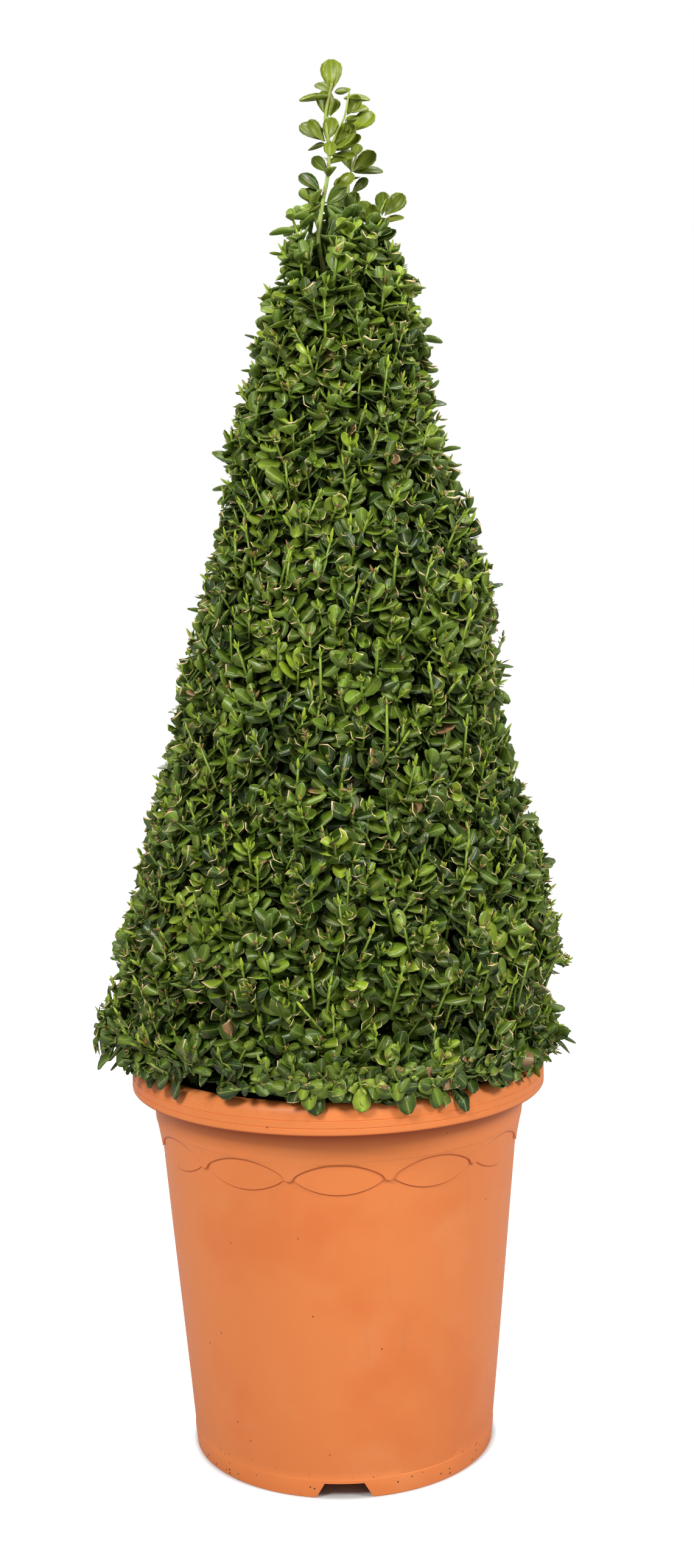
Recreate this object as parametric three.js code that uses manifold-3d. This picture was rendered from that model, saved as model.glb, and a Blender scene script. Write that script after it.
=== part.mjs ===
// A boxwood clipped to a tall cone, growing in a moulded nursery pot.
//
// Millimetres, +Z up. The origin is on the ground, on the pot's axis, and -Y is the front.
// The plant comes apart as it would on a bench: the pot, the compost, the trunk, its branches,
// one spray of leaves on each branch, and the long shoots at the top with their leaves.

import * as THREE from "three";
import { mergeVertices } from "three/addons/utils/BufferGeometryUtils.js";
import Module from "manifold-3d";

const wasm = await Module();
wasm.setup();

const TURN = 2 * Math.PI;
const TOUCHING_GAP = 0.3; // left between pieces that touch

// ---- Driving dimensions -------------------------------------------------------------------

// Pot
const POT_HEIGHT = 329;
const POT_BASE_RADIUS = 123.8; // outside of the wall, carried down to the ground
const POT_FLARE = 0.0875; // how much the wall's radius grows per millimetre of height
const WALL = 2.6;
const POT_SIDES = 72;

const LIP_RADIUS = 170;
const LIP_HEIGHT = 24;
const LIP_ROUNDING = 6;

const FOOT_HEIGHT = 15.3;
const FOOT_STEP = 0.9; // how far the foot stands proud of the wall
const FOOT_WALL = 4;
const FLOOR_RISE = 12.8; // the floor's underside, above the ground
const FLOOR = 3;

const NOTCH = { count: 4, height: 12.5, halfFoot: 23.7, halfTop: 15.6 };
const DRAIN_HOLE = { count: 8, radius: 7, circle: 92, sides: 12 };

// Relief under the lip: a raised drape whose lower edge is scalloped by a row of leaf shapes
const DRAPE_STEP = 2.4; // how far the drape's lower edge stands proud
const DRAPE_FLARE = 0.05; // on top of the wall's own flare
const SCALLOP = { count: 12, drop: 64.3, halfHeight: 12.1, halfWidth: 36.6, step: 0.9, columns: 8 };
const SCALLOP_BLUNT = 0.8; // half the height of a leaf shape at its pointed ends
const DRAPE_TIP = 1.4; // how far the drape's points hang below the row's middle

// Compost
const COMPOST_DROP = 9; // its edge, below the top of the pot
const COMPOST_MOUND = 7;

// Plant
const PLANT_LEAN = 0.022; // radians, towards +X
const SKIRT_GAP = 6.5; // between the pot's lip and the lowest leaves
const CONE_HEIGHT = 664; // from the lowest leaves to the clipped top
const CONE_BASE_RADIUS = 190;
const CONE_TOP_RADIUS = 49;
const CONE_BELLY = 4; // how far the middle of the cone's side swells
const CROWN_HEIGHT = 78;

const TRUNK_RADIUS = 14;
const TRUNK_TOP_RADIUS = 3.4;
const TRUNK_DEPTH = 105; // in the compost
const TRUNK_SWAY = 5;

const TIER_SPRAYS = [4, 4, 3, 3, 2]; // sprays in each tier of branches, lowest first
const TIER_SHARES = [1.15, 1.1, 1, 0.95, 0.9]; // the tiers' heights, relative to each other
const SPRAY_GAP = 4; // between neighbouring sprays
const SPRAY_ROUNDING = 9;
const SPRAY_CLEARANCE = 4; // between a spray and the trunk

const BRANCH_RADIUS = 4.2;
const BRANCH_TIP_RADIUS = 1.6;
const BRANCH_REACH = 0.72; // share of the way from the trunk to the outside of the cone

// The long shoots above the clipped top. Each is a list of points from the crown's foot
// upwards: sideways, backwards, and height above the cone's clipped top.
const LEADER = {
  name: "leader",
  points: [
    [-6, 0, -60],
    [-14, -2, -38],
    [-18, -4, -14],
    [-15, -3, 12],
    [-11, -3, 34],
    [-10, -2, 56],
    [-13, -2, 78],
    [-8, -2, 104],
  ],
  thick: 2.1,
  thin: 1.1,
  pairs: 5,
  firstPair: 0.5,
  turn: 0.25,
};
const SECOND_SHOOT = {
  name: "second_shoot",
  points: [
    [8, 9, -52],
    [5, 12, -20],
    [3, 15, 8],
    [6, 18, 34],
    [12, 20, 55],
  ],
  thick: 1.7,
  thin: 0.9,
  pairs: 3,
  firstPair: 0.56,
  turn: 0.9,
};
const SIDE_SHOOT = {
  name: "side_shoot",
  points: [
    [18, -4, -56],
    [20, -7, -34],
    [24, -9, -10],
    [33, -10, 10],
  ],
  thick: 1.6,
  thin: 0.9,
  pairs: 1,
  firstPair: 0.96,
  turn: 0.1,
};
const SHOOTS = [LEADER, SECOND_SHOOT, SIDE_SHOOT];

const LEAF_LENGTH = 21;
const LEAF_WIDTH = 12.5;
const LEAF_THICKNESS = 0.7;
const LEAF_CUP = 2.2; // how far its edges rise above its midrib
const LEAF_DROOP = 2.4; // how far its tip bends back
const LEAF_SET_OFF = 1; // between a leaf's foot and the bark
const LEAF_LIFT = 0.8; // radians from square to the shoot, at its lowest pair
const LEAF_TOP_LIFT = 1.25; // and at its top pair

// ---- Sizes that follow from them ----------------------------------------------------------

const LIP_FOOT = POT_HEIGHT - LIP_HEIGHT;
const SCALLOP_MIDDLE = POT_HEIGHT - SCALLOP.drop;
const DRAPE_FOOT = SCALLOP_MIDDLE - DRAPE_TIP;
const FLOOR_TOP = FLOOR_RISE + FLOOR;
const COMPOST_EDGE = POT_HEIGHT - COMPOST_DROP;
const CONE_FOOT = SKIRT_GAP; // heights in the plant's group start at the pot's top
const CONE_TOP = CONE_FOOT + CONE_HEIGHT;
const CROWN_FOOT = CONE_TOP - CROWN_HEIGHT;
const TRUNK_TOP = CONE_TOP + LEADER.points[0][2] - LEADER.thick;

const lerp = THREE.MathUtils.lerp;
const wallRadius = (z) => POT_BASE_RADIUS + POT_FLARE * z;
const drapeRadius = (z) => wallRadius(z) + DRAPE_STEP + DRAPE_FLARE * (z - DRAPE_FOOT);
const insideRadius = (z) => wallRadius(z) - WALL;

// Radius of the clipped cone at a height in the plant's group.
function coneRadius(z) {
  const share = THREE.MathUtils.clamp((z - CONE_FOOT) / CONE_HEIGHT, 0, 1);
  return lerp(CONE_BASE_RADIUS, CONE_TOP_RADIUS, share) + CONE_BELLY * Math.sin(Math.PI * share);
}

function trunkRadius(z) {
  const share = THREE.MathUtils.clamp(z / TRUNK_TOP, 0, 1);
  return lerp(TRUNK_RADIUS, TRUNK_TOP_RADIUS, share);
}

// The trunk's middle at a height in the plant's group: straight in the compost, then a slow sway.
function trunkPoint(z) {
  const share = THREE.MathUtils.clamp(z / TRUNK_TOP, 0, 1);
  const fade = Math.sin(Math.PI * share);
  const end = LEADER.points[0];
  const x = end[0] * share + TRUNK_SWAY * fade * Math.sin(TURN * share);
  const y = end[1] * share + TRUNK_SWAY * fade * Math.cos(TURN * share);
  return new THREE.Vector3(x, y, z);
}

// ---- Solids -------------------------------------------------------------------------------

// A closed geometry as a manifold-3d solid.
function solidOf(geometry) {
  const loose = geometry.index ? geometry.toNonIndexed() : geometry;
  const bare = new THREE.BufferGeometry();
  bare.setAttribute("position", loose.getAttribute("position"));
  const merged = mergeVertices(bare, 1e-3);
  return new wasm.Manifold(
    new wasm.Mesh({
      numProp: 3,
      vertProperties: merged.attributes.position.array,
      triVerts: new Uint32Array(merged.index.array),
    }),
  );
}

function geometryOf(solid) {
  const mesh = solid.getMesh();
  const geometry = new THREE.BufferGeometry();
  geometry.setAttribute("position", new THREE.BufferAttribute(mesh.vertProperties, 3));
  geometry.setIndex(new THREE.BufferAttribute(mesh.triVerts, 1));
  geometry.computeVertexNormals();
  return geometry;
}

// A geometry with each vertex moved by a function of its place.
function moved(geometry, place) {
  const position = geometry.getAttribute("position");
  const vertex = new THREE.Vector3();
  for (let i = 0; i < position.count; i++) {
    vertex.fromBufferAttribute(position, i);
    position.setXYZ(i, ...place(vertex).toArray());
  }
  geometry.computeVertexNormals();
  return geometry;
}

// A profile of [radius, height] pairs, turned round the vertical axis.
function turned(profile, sides) {
  const points = profile.map(([radius, height]) => new THREE.Vector2(radius, height));
  return new THREE.LatheGeometry(points, sides).rotateX(Math.PI / 2);
}

// A block bent round the vertical axis. Across, up and out run from -0.5 to 0.5.
function bentBlock(columns, rows, place) {
  return moved(new THREE.BoxGeometry(1, 1, 1, columns, rows, 1), ({ x, y, z }) => {
    const { angle, radius, height } = place(x, y, z);
    return new THREE.Vector3(radius * Math.cos(angle), radius * Math.sin(angle), height);
  });
}

// A tapered round limb along a smooth curve. grow makes it larger all over, for a clearance hole.
function limb(points, thick, thin, { sides = 6, steps = 5, grow = 0 } = {}) {
  const curve = new THREE.CatmullRomCurve3(points);
  const frames = curve.computeFrenetFrames(steps, false);
  const profile = [[0, 0]];
  for (let ring = 0; ring <= steps; ring++) profile.push([1, ring]);
  profile.push([0, steps]);
  const tube = new THREE.LatheGeometry(profile.map(([r, y]) => new THREE.Vector2(r, y)), sides);
  return moved(tube, ({ x, y, z }) => {
    const ring = Math.round(y);
    const radius = lerp(thick, thin, ring / steps) + grow;
    const beyond = ring === 0 ? -grow : ring === steps ? grow : 0;
    return curve
      .getPointAt(ring / steps)
      .addScaledVector(frames.tangents[ring], beyond)
      .addScaledVector(frames.binormals[ring], x * radius)
      .addScaledVector(frames.normals[ring], z * radius);
  });
}

// ---- Materials ----------------------------------------------------------------------------

const finish = (color, roughness) =>
  new THREE.MeshStandardMaterial({ color, roughness, metalness: 0 });
const terracottaPlastic = finish(0xe88a50, 0.55);
const darkCompost = finish(0x2e2318, 0.95);
const oldBark = finish(0x7a6448, 0.85);
const greenBark = finish(0x8c9a48, 0.6);
const darkLeaf = finish(0x3f5a22, 0.4);
const youngLeaf = finish(0x5f8a2c, 0.4);

function mesh(name, geometry, material) {
  const made = new THREE.Mesh(geometry, material);
  made.name = name;
  return made;
}

// ---- Pot ----------------------------------------------------------------------------------

// The thin wall with its foot, floor, drape and downturned lip, as one closed profile.
function potBody() {
  const footRadius = wallRadius(0) + FOOT_STEP;
  const footTopRadius = wallRadius(FOOT_HEIGHT) + FOOT_STEP;
  const lipUnderside = POT_HEIGHT - LIP_ROUNDING - WALL;
  return turned(
    [
      [0, FLOOR_RISE],
      [footRadius - FOOT_WALL, FLOOR_RISE],
      [footRadius - FOOT_WALL, 0],
      [footRadius, 0],
      [footTopRadius, FOOT_HEIGHT],
      [wallRadius(FOOT_HEIGHT), FOOT_HEIGHT],
      [wallRadius(DRAPE_FOOT), DRAPE_FOOT],
      [drapeRadius(DRAPE_FOOT), DRAPE_FOOT],
      [drapeRadius(lipUnderside), lipUnderside],
      [LIP_RADIUS - WALL, lipUnderside],
      [LIP_RADIUS - WALL, LIP_FOOT],
      [LIP_RADIUS, LIP_FOOT],
      [LIP_RADIUS, POT_HEIGHT - LIP_ROUNDING],
      [LIP_RADIUS - LIP_ROUNDING * 0.3, POT_HEIGHT - LIP_ROUNDING * 0.3],
      [LIP_RADIUS - LIP_ROUNDING, POT_HEIGHT],
      [drapeRadius(lipUnderside) - 1, POT_HEIGHT - 1.5],
      [insideRadius(POT_HEIGHT - LIP_ROUNDING), POT_HEIGHT - LIP_ROUNDING],
      [insideRadius(FLOOR_TOP), FLOOR_TOP],
      [0, FLOOR_TOP],
    ],
    POT_SIDES,
  );
}

// One leaf shape of the relief, from one height over the wall to another.
function scallop(index, low, high) {
  const { halfWidth, halfHeight, columns, count } = SCALLOP;
  const middle = (index / count - 0.25) * TURN;
  const arcRadius = (halfWidth ** 2 + halfHeight ** 2) / (2 * halfHeight);
  const halfAngle = halfWidth / drapeRadius(SCALLOP_MIDDLE);
  return bentBlock(columns, 1, (across, up, out) => {
    const sideways = 2 * across * halfWidth;
    const arc = Math.sqrt(arcRadius ** 2 - sideways ** 2) - (arcRadius - halfHeight);
    const height = SCALLOP_MIDDLE + 2 * up * Math.max(arc, SCALLOP_BLUNT);
    return {
      angle: middle + 2 * across * halfAngle,
      radius: wallRadius(height) + lerp(low, high, out + 0.5),
      height,
    };
  });
}

// A trapezoid gap through the foot, where water runs out.
function notch(index) {
  const { halfFoot, halfTop, height, count } = NOTCH;
  const below = 2;
  const spread = ((halfFoot - halfTop) * below) / height;
  const outline = new THREE.Shape([
    new THREE.Vector2(-halfFoot - spread, -below),
    new THREE.Vector2(halfFoot + spread, -below),
    new THREE.Vector2(halfTop, height),
    new THREE.Vector2(-halfTop, height),
  ]);
  const inside = wallRadius(0) - 6 * FOOT_WALL;
  return new THREE.ExtrudeGeometry(outline, { depth: 8 * FOOT_WALL, bevelEnabled: false })
    .translate(0, 0, inside)
    .rotateX(Math.PI / 2)
    .rotateZ((index / count) * TURN);
}

function drainHole(index) {
  const { radius, circle, sides, count } = DRAIN_HOLE;
  const angle = ((index + 0.5) / count) * TURN;
  return new THREE.CylinderGeometry(radius, radius, 3 * FLOOR, sides)
    .rotateX(Math.PI / 2)
    .translate(circle * Math.cos(angle), circle * Math.sin(angle), FLOOR_RISE + FLOOR / 2);
}

function potGeometry() {
  let solid = solidOf(potBody());
  const deepest = 2 * DRAPE_STEP + DRAPE_FLARE * LIP_HEIGHT;
  for (let i = 0; i < SCALLOP.count; i++) {
    solid = solid.subtract(solidOf(scallop(i, SCALLOP.step, deepest)));
    solid = solid.add(solidOf(scallop(i, -WALL / 2, SCALLOP.step)));
  }
  for (let i = 0; i < NOTCH.count; i++) solid = solid.subtract(solidOf(notch(i)));
  for (let i = 0; i < DRAIN_HOLE.count; i++) solid = solid.subtract(solidOf(drainHole(i)));
  return geometryOf(solid);
}

// ---- Trunk and compost --------------------------------------------------------------------

function trunkGeometry(grow = 0) {
  const points = [-TRUNK_DEPTH, -TRUNK_DEPTH / 2, 0].map((z) => new THREE.Vector3(0, 0, z));
  const bends = 6;
  for (let i = 1; i <= bends; i++) points.push(trunkPoint((TRUNK_TOP * i) / bends));
  return limb(points, TRUNK_RADIUS, TRUNK_TOP_RADIUS, { sides: 10, steps: 12, grow });
}

function compostGeometry(plantMatrix) {
  const foot = FLOOR_TOP + TOUCHING_GAP;
  const edgeRadius = insideRadius(COMPOST_EDGE) - TOUCHING_GAP;
  const plug = turned(
    [
      [0, foot],
      [insideRadius(foot) - TOUCHING_GAP, foot],
      [edgeRadius, COMPOST_EDGE],
      [edgeRadius * 0.8, COMPOST_EDGE + COMPOST_MOUND * 0.5],
      [edgeRadius * 0.4, COMPOST_EDGE + COMPOST_MOUND * 0.9],
      [0, COMPOST_EDGE + COMPOST_MOUND],
    ],
    POT_SIDES / 2,
  );
  const socket = trunkGeometry(TOUCHING_GAP).applyMatrix4(plantMatrix);
  return geometryOf(solidOf(plug).subtract(solidOf(socket)));
}

// ---- Branches and their sprays of leaves --------------------------------------------------

// Where each tier of branches starts and ends, between the cone's foot and its crown.
function tierHeights() {
  const whole = TIER_SHARES.reduce((sum, share) => sum + share, 0);
  const heights = [CONE_FOOT];
  for (const share of TIER_SHARES)
    heights.push(heights.at(-1) + ((CROWN_FOOT - CONE_FOOT) * share) / whole);
  return heights;
}

// How far a spray's middle line stands from the trunk's, to keep clear of the sway.
const coreRadius = (z) => trunkRadius(z) + 2 * TRUNK_SWAY + SPRAY_CLEARANCE;

function sprayBlock(low, high, from, to) {
  return bentBlock(5, 3, (across, up, out) => {
    const height = lerp(low, high, up + 0.5);
    const edge = Math.max(Math.abs(across), Math.abs(up)) * 2;
    const outside = coneRadius(height) - SPRAY_ROUNDING * edge ** 4 * 0.5;
    const radius = lerp(coreRadius(height), outside, out + 0.5);
    const halfGap = SPRAY_GAP / 2 / radius;
    return { angle: lerp(from + halfGap, to - halfGap, across + 0.5), radius, height };
  });
}

// A branch leaves the trunk low in its tier and curves up and outwards.
function branchPoints(low, high, angle) {
  const rise = high - low;
  const start = lerp(low, high, 0.12);
  const away = (radius, height) =>
    new THREE.Vector3(radius * Math.cos(angle), radius * Math.sin(angle), height);
  const trunk = trunkPoint(start);
  const root = away(trunkRadius(start) + TOUCHING_GAP + 1, start).add(trunk.setZ(0));
  const reach = coneRadius(high) * BRANCH_REACH;
  const middle = lerp(coreRadius(low), reach, 0.45);
  return [root, away(middle, start + rise * 0.2), away(reach, start + rise * 0.58)];
}

function tiers() {
  const pieces = [];
  const heights = tierHeights();
  const trunkClearance = solidOf(trunkGeometry(TOUCHING_GAP));
  TIER_SPRAYS.forEach((count, tier) => {
    const low = heights[tier] + (tier ? SPRAY_GAP / 2 : 0);
    const high = heights[tier + 1] - SPRAY_GAP / 2;
    for (let i = 0; i < count; i++) {
      const label = `${tier + 1}_${i + 1}`;
      const from = ((i - 0.5) / count) * TURN - TURN / 4 + tier * 0.7;
      const to = from + TURN / count;
      const points = branchPoints(low, high, (from + to) / 2);
      const branch = (grow) => limb(points, BRANCH_RADIUS, BRANCH_TIP_RADIUS, { grow });
      const wood = solidOf(branch(0)).subtract(trunkClearance);
      const leaves = solidOf(sprayBlock(low, high, from, to));
      const channel = solidOf(branch(TOUCHING_GAP));
      pieces.push(mesh(`branch_${label}`, geometryOf(wood), oldBark));
      pieces.push(mesh(`leaf_spray_${label}`, geometryOf(leaves.subtract(channel)), darkLeaf));
    }
  });
  return pieces;
}

// ---- Crown and long shoots ----------------------------------------------------------------

const shootPoints = ({ points }) => points.map(([x, y, z]) => new THREE.Vector3(x, y, CONE_TOP + z));

function shootGeometry(shoot, grow = 0) {
  return limb(shootPoints(shoot), shoot.thick, shoot.thin, { steps: 10, grow });
}

// The rounded tuft of leaves on top, with a channel for each stem that grows through it.
function crownGeometry() {
  const foot = CROWN_FOOT + SPRAY_GAP / 2;
  const round = CROWN_HEIGHT * 0.2;
  let solid = solidOf(
    turned(
      [
        [0, foot],
        [coneRadius(foot) - SPRAY_ROUNDING * 0.4, foot],
        [coneRadius(foot + round), foot + round],
        [coneRadius(CONE_TOP - 2 * round), CONE_TOP - 2 * round],
        [coneRadius(CONE_TOP - round) * 0.9, CONE_TOP - round],
        [coneRadius(CONE_TOP) * 0.68, CONE_TOP],
        [0, CONE_TOP + round * 0.4],
      ],
      14,
    ),
  );
  for (const shoot of SHOOTS) solid = solid.subtract(solidOf(shootGeometry(shoot, TOUCHING_GAP)));
  return geometryOf(solid.subtract(solidOf(trunkGeometry(TOUCHING_GAP))));
}

// Half the width of a boxwood leaf at a share of its length: broadest just past the middle.
const leafOutline = (share) => Math.sin(Math.PI * (0.06 + 0.88 * share ** 0.9));

// A leaf along +Y with its upper side up: cupped along the midrib, its tip bent back.
function leafGeometry(length, width) {
  const block = new THREE.BoxGeometry(1, 1, LEAF_THICKNESS, 2, 5, 1);
  return moved(block, ({ x, y, z }) => {
    const share = y + 0.5;
    const cup = LEAF_CUP * Math.abs(2 * x) ** 1.5 * leafOutline(share);
    const droop = LEAF_DROOP * share ** 2;
    return new THREE.Vector3(x * width * leafOutline(share), share * length, z + cup - droop);
  });
}

// The leaves of a shoot: pairs, each a quarter turn on from the pair below, smaller upwards.
function shootLeaves(shoot) {
  const leaves = [];
  const curve = new THREE.CatmullRomCurve3(shootPoints(shoot));
  for (let pair = 0; pair < shoot.pairs; pair++) {
    const along = pair / Math.max(shoot.pairs - 1, 1);
    const share = lerp(shoot.firstPair, 0.985, along);
    const stem = curve.getPointAt(share);
    const upwards = curve.getTangentAt(share);
    const clearance = lerp(shoot.thick, shoot.thin, share) + LEAF_SET_OFF;
    for (const side of [0, 1]) {
      const azimuth = shoot.turn + pair * (TURN / 4) + side * (TURN / 2);
      const outwards = new THREE.Vector3(Math.cos(azimuth), Math.sin(azimuth), 0);
      outwards.addScaledVector(upwards, -outwards.dot(upwards)).normalize();
      const lift = lerp(LEAF_LIFT, LEAF_TOP_LIFT, along);
      const direction = outwards
        .clone()
        .multiplyScalar(Math.cos(lift))
        .addScaledVector(upwards, Math.sin(lift));
      const across = new THREE.Vector3().crossVectors(direction, upwards).normalize();
      const upperSide = new THREE.Vector3().crossVectors(across, direction);
      const size = lerp(1, 0.95, along) * (side ? 0.9 : 1);
      const name = `${shoot.name}_leaf_${2 * pair + side + 1}`;
      const leaf = mesh(name, leafGeometry(LEAF_LENGTH * size, LEAF_WIDTH * size), youngLeaf);
      leaf.quaternion.setFromRotationMatrix(
        new THREE.Matrix4().makeBasis(across, direction, upperSide),
      );
      leaf.position.copy(stem).addScaledVector(outwards, clearance);
      leaves.push(leaf);
    }
  }
  return leaves;
}

// ---- The whole plant ----------------------------------------------------------------------

const plant = new THREE.Group();
plant.position.z = POT_HEIGHT;
plant.rotation.y = PLANT_LEAN;
plant.updateMatrix();
plant.add(mesh("trunk", trunkGeometry(), oldBark));
plant.add(...tiers());
plant.add(mesh("leaf_crown", crownGeometry(), darkLeaf));
for (const shoot of SHOOTS) {
  plant.add(mesh(shoot.name, shootGeometry(shoot), greenBark));
  plant.add(...shootLeaves(shoot));
}

const boxwood = new THREE.Group();
boxwood.add(mesh("pot", potGeometry(), terracottaPlastic));
boxwood.add(mesh("compost", compostGeometry(plant.matrix), darkCompost));
boxwood.add(plant);

export default boxwood;
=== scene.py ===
# %% [markdown]
# # A boxwood clipped to a cone, in its nursery pot
#
# This lesson dresses a finished frame of solids. Each plain solid already stands at its real
# place and size, in metres, with the ground at z = 0 and the pot's axis on the z axis. We make a
# finer piece for each one, so that the plain solid is only needed for its weight and its touch.

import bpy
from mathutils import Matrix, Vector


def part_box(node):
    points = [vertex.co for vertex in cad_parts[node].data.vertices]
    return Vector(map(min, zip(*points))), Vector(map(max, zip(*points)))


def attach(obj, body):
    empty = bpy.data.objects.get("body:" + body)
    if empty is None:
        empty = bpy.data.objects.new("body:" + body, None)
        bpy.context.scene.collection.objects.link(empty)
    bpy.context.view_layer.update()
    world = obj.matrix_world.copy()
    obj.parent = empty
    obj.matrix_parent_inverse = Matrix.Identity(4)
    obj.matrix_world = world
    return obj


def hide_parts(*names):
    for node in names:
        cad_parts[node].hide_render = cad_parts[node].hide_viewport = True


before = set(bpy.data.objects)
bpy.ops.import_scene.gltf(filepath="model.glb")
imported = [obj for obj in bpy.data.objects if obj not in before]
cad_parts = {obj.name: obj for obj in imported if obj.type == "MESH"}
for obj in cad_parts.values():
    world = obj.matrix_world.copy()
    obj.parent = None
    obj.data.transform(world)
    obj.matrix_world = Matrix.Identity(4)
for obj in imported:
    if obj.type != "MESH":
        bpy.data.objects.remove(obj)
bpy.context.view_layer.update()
print("plain solids:", len(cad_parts))

# %% [markdown]
# The solids are in metres, but the parts of a plant are easier to think of in millimetres, so
# every length below is a number times MM.

# %% Tools and units
import math

import bpy
import numpy as np
from mathutils import Matrix, Vector

MM = 0.001
TURN = 2 * math.pi
UP = np.array([0.0, 0.0, 1.0])

# %% [markdown]
# ## Camera
#
# The plant is looked at from a little above its middle, a metre and a half away, with a lens that
# is just long enough to keep the sides of the pot nearly upright. The camera is rolled by one
# degree, as a hand-held one is. A Track To constraint could aim it, but it would leave the roll to
# chance, so the camera is turned by two plain rotations.

# %% Camera
CAMERA_PLACE = (0.0114, -1.574, 0.724)
CAMERA_DIP = 0.11
CAMERA_ROLL = -0.0174
CAMERA_LENS = 44.5

bpy.ops.object.select_all(action="DESELECT")
bpy.ops.object.camera_add(location=CAMERA_PLACE)
camera = bpy.context.object
camera.data.lens = CAMERA_LENS
camera.data.sensor_width = 36
camera.data.clip_start = 0.05
camera.data.clip_end = 60
aim = Matrix.Rotation(math.pi / 2 - CAMERA_DIP, 4, "X") @ Matrix.Rotation(CAMERA_ROLL, 4, "Z")
camera.rotation_euler = aim.to_euler()
bpy.context.scene.camera = camera
print("camera at", [round(c, 3) for c in camera.location])

# %% [markdown]
# ## Wiring a finish
#
# Every finish is a net of nodes. It could be wired by hand in the node editor, or with three lines
# for each node. A few helpers say the same in one line each: make a node, add or multiply two
# values, make a soft step, mix two colours, and wire the result into the shader.


# %% Shader helpers
def shader_node(tree, kind, values=None, **settings):
    """Adds a node, sets its settings, and fills its inputs with values or links."""
    made = tree.nodes.new(kind)
    for key, value in settings.items():
        setattr(made, key, value)
    for key, value in (values or {}).items():
        socket = made.inputs[key]
        if isinstance(value, bpy.types.NodeSocket):
            tree.links.new(value, socket)
        elif socket.type == "RGBA" and len(value) == 3:
            socket.default_value = (*value, 1)
        else:
            socket.default_value = value
    return made


def sum_of(tree, first, second, operation="ADD"):
    """A Math node, clamped to run from 0 to 1. Each side is a number or a socket."""
    return shader_node(
        tree, "ShaderNodeMath", {0: first, 1: second}, operation=operation, use_clamp=True
    ).outputs[0]


def ramp(tree, value, low, high):
    """0 where the value is under low, 1 where it is over high, and smooth between."""
    made = shader_node(
        tree,
        "ShaderNodeMapRange",
        {"Value": value, "From Min": low, "From Max": high},
        interpolation_type="SMOOTHSTEP",
    )
    return made.outputs["Result"]


def blend(tree, share, first, second):
    """Mixes two colours by a share from 0 to 1."""
    made = shader_node(tree, "ShaderNodeMix", data_type="RGBA")
    for index, value in ((0, share), (6, first), (7, second)):
        if isinstance(value, bpy.types.NodeSocket):
            tree.links.new(value, made.inputs[index])
        else:
            made.inputs[index].default_value = (*value, 1) if index else value
    return made.outputs[2]


def tinge(tree, colour, mask, share, towards):
    """Draws a colour towards another one where the mask is, by a share of it."""
    return blend(tree, sum_of(tree, mask, share, "MULTIPLY"), colour, towards)


def noise(tree, place, scale, detail=3.0, roughness=0.55):
    """A cloudy value from 0 to 1."""
    values = {"Vector": place, "Scale": scale, "Detail": detail, "Roughness": roughness}
    return shader_node(tree, "ShaderNodeTexNoise", values).outputs["Fac"]


def new_material(name):
    """A material with its Principled BSDF and its Object coordinates."""
    made = bpy.data.materials.new(name)
    made.use_nodes = True
    tree = made.node_tree
    place = shader_node(tree, "ShaderNodeTexCoord").outputs["Object"]
    return made, tree, tree.nodes["Principled BSDF"], place


def add_bump(tree, surface, height, strength, distance):
    """Makes the surface uneven by a height that changes over it."""
    values = {"Height": height, "Strength": strength, "Distance": distance}
    made = shader_node(tree, "ShaderNodeBump", values)
    tree.links.new(made.outputs["Normal"], surface.inputs["Normal"])
    return made


def wire_finish(tree, surface, colour, worn, smooth, rough, bump):
    """Wires a colour, a roughness that grows from smooth to rough with worn, and a bump."""
    tree.links.new(colour, surface.inputs["Base Color"])
    values = {"Value": worn, "To Min": smooth, "To Max": rough}
    made = shader_node(tree, "ShaderNodeMapRange", values)
    tree.links.new(made.outputs["Result"], surface.inputs["Roughness"])
    return add_bump(tree, surface, *bump)


def paint(obj, *materials):
    """Gives an object these materials in place of what it had."""
    obj.data.materials.clear()
    for material in materials:
        obj.data.materials.append(material)


print("materials so far:", len(bpy.data.materials))

# %% [markdown]
# ## Floor and light
#
# The floor is one wide pale plane. Where the camera sees it, it glows, so that it melts into the
# white behind it and no horizon shows. It doesn't glow under the pot, where real shade falls.

# %% Floor
FLOOR_SPAN = 60
FLOOR_GLOW = 0.85
SHADE_END = 121 * MM
GLOW_START = 132 * MM

bpy.ops.mesh.primitive_plane_add(size=FLOOR_SPAN, location=(0, 0, 0))
floor = bpy.context.object
floor.name = "floor"
floor_white, tree, surface, place = new_material("studio floor")
surface.inputs["Base Color"].default_value = (0.5, 0.5, 0.5, 1)
surface.inputs["Roughness"].default_value = 0.9
surface.inputs["Specular IOR Level"].default_value = 0
seen = shader_node(tree, "ShaderNodeLightPath").outputs["Is Camera Ray"]
from_axis = shader_node(tree, "ShaderNodeVectorMath", {0: place}, operation="LENGTH").outputs["Value"]
open_floor = ramp(tree, from_axis, SHADE_END, GLOW_START)
seen = sum_of(tree, seen, open_floor, "MULTIPLY")
glow = shader_node(tree, "ShaderNodeMapRange", {"Value": seen, "To Max": FLOOR_GLOW})
surface.inputs["Emission Color"].default_value = (1, 1, 1, 1)
tree.links.new(glow.outputs["Result"], surface.inputs["Emission Strength"])
paint(floor, floor_white)
print("floor:", FLOOR_SPAN, "m across")

# %% [markdown]
# The sky is white too, but it lights the plant far less than it shows, and a gloss mirrors it
# less again, because glossy leaves under a full white sky turn milky. Two soft lamps above the
# front give the leaves a shiny side. One overhead and one behind lift the top and the edges.

# %% Light
SKY_SEEN = 1.0
SKY_LIGHT = 0.34
SKY_IN_GLOSS = 0.28

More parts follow.
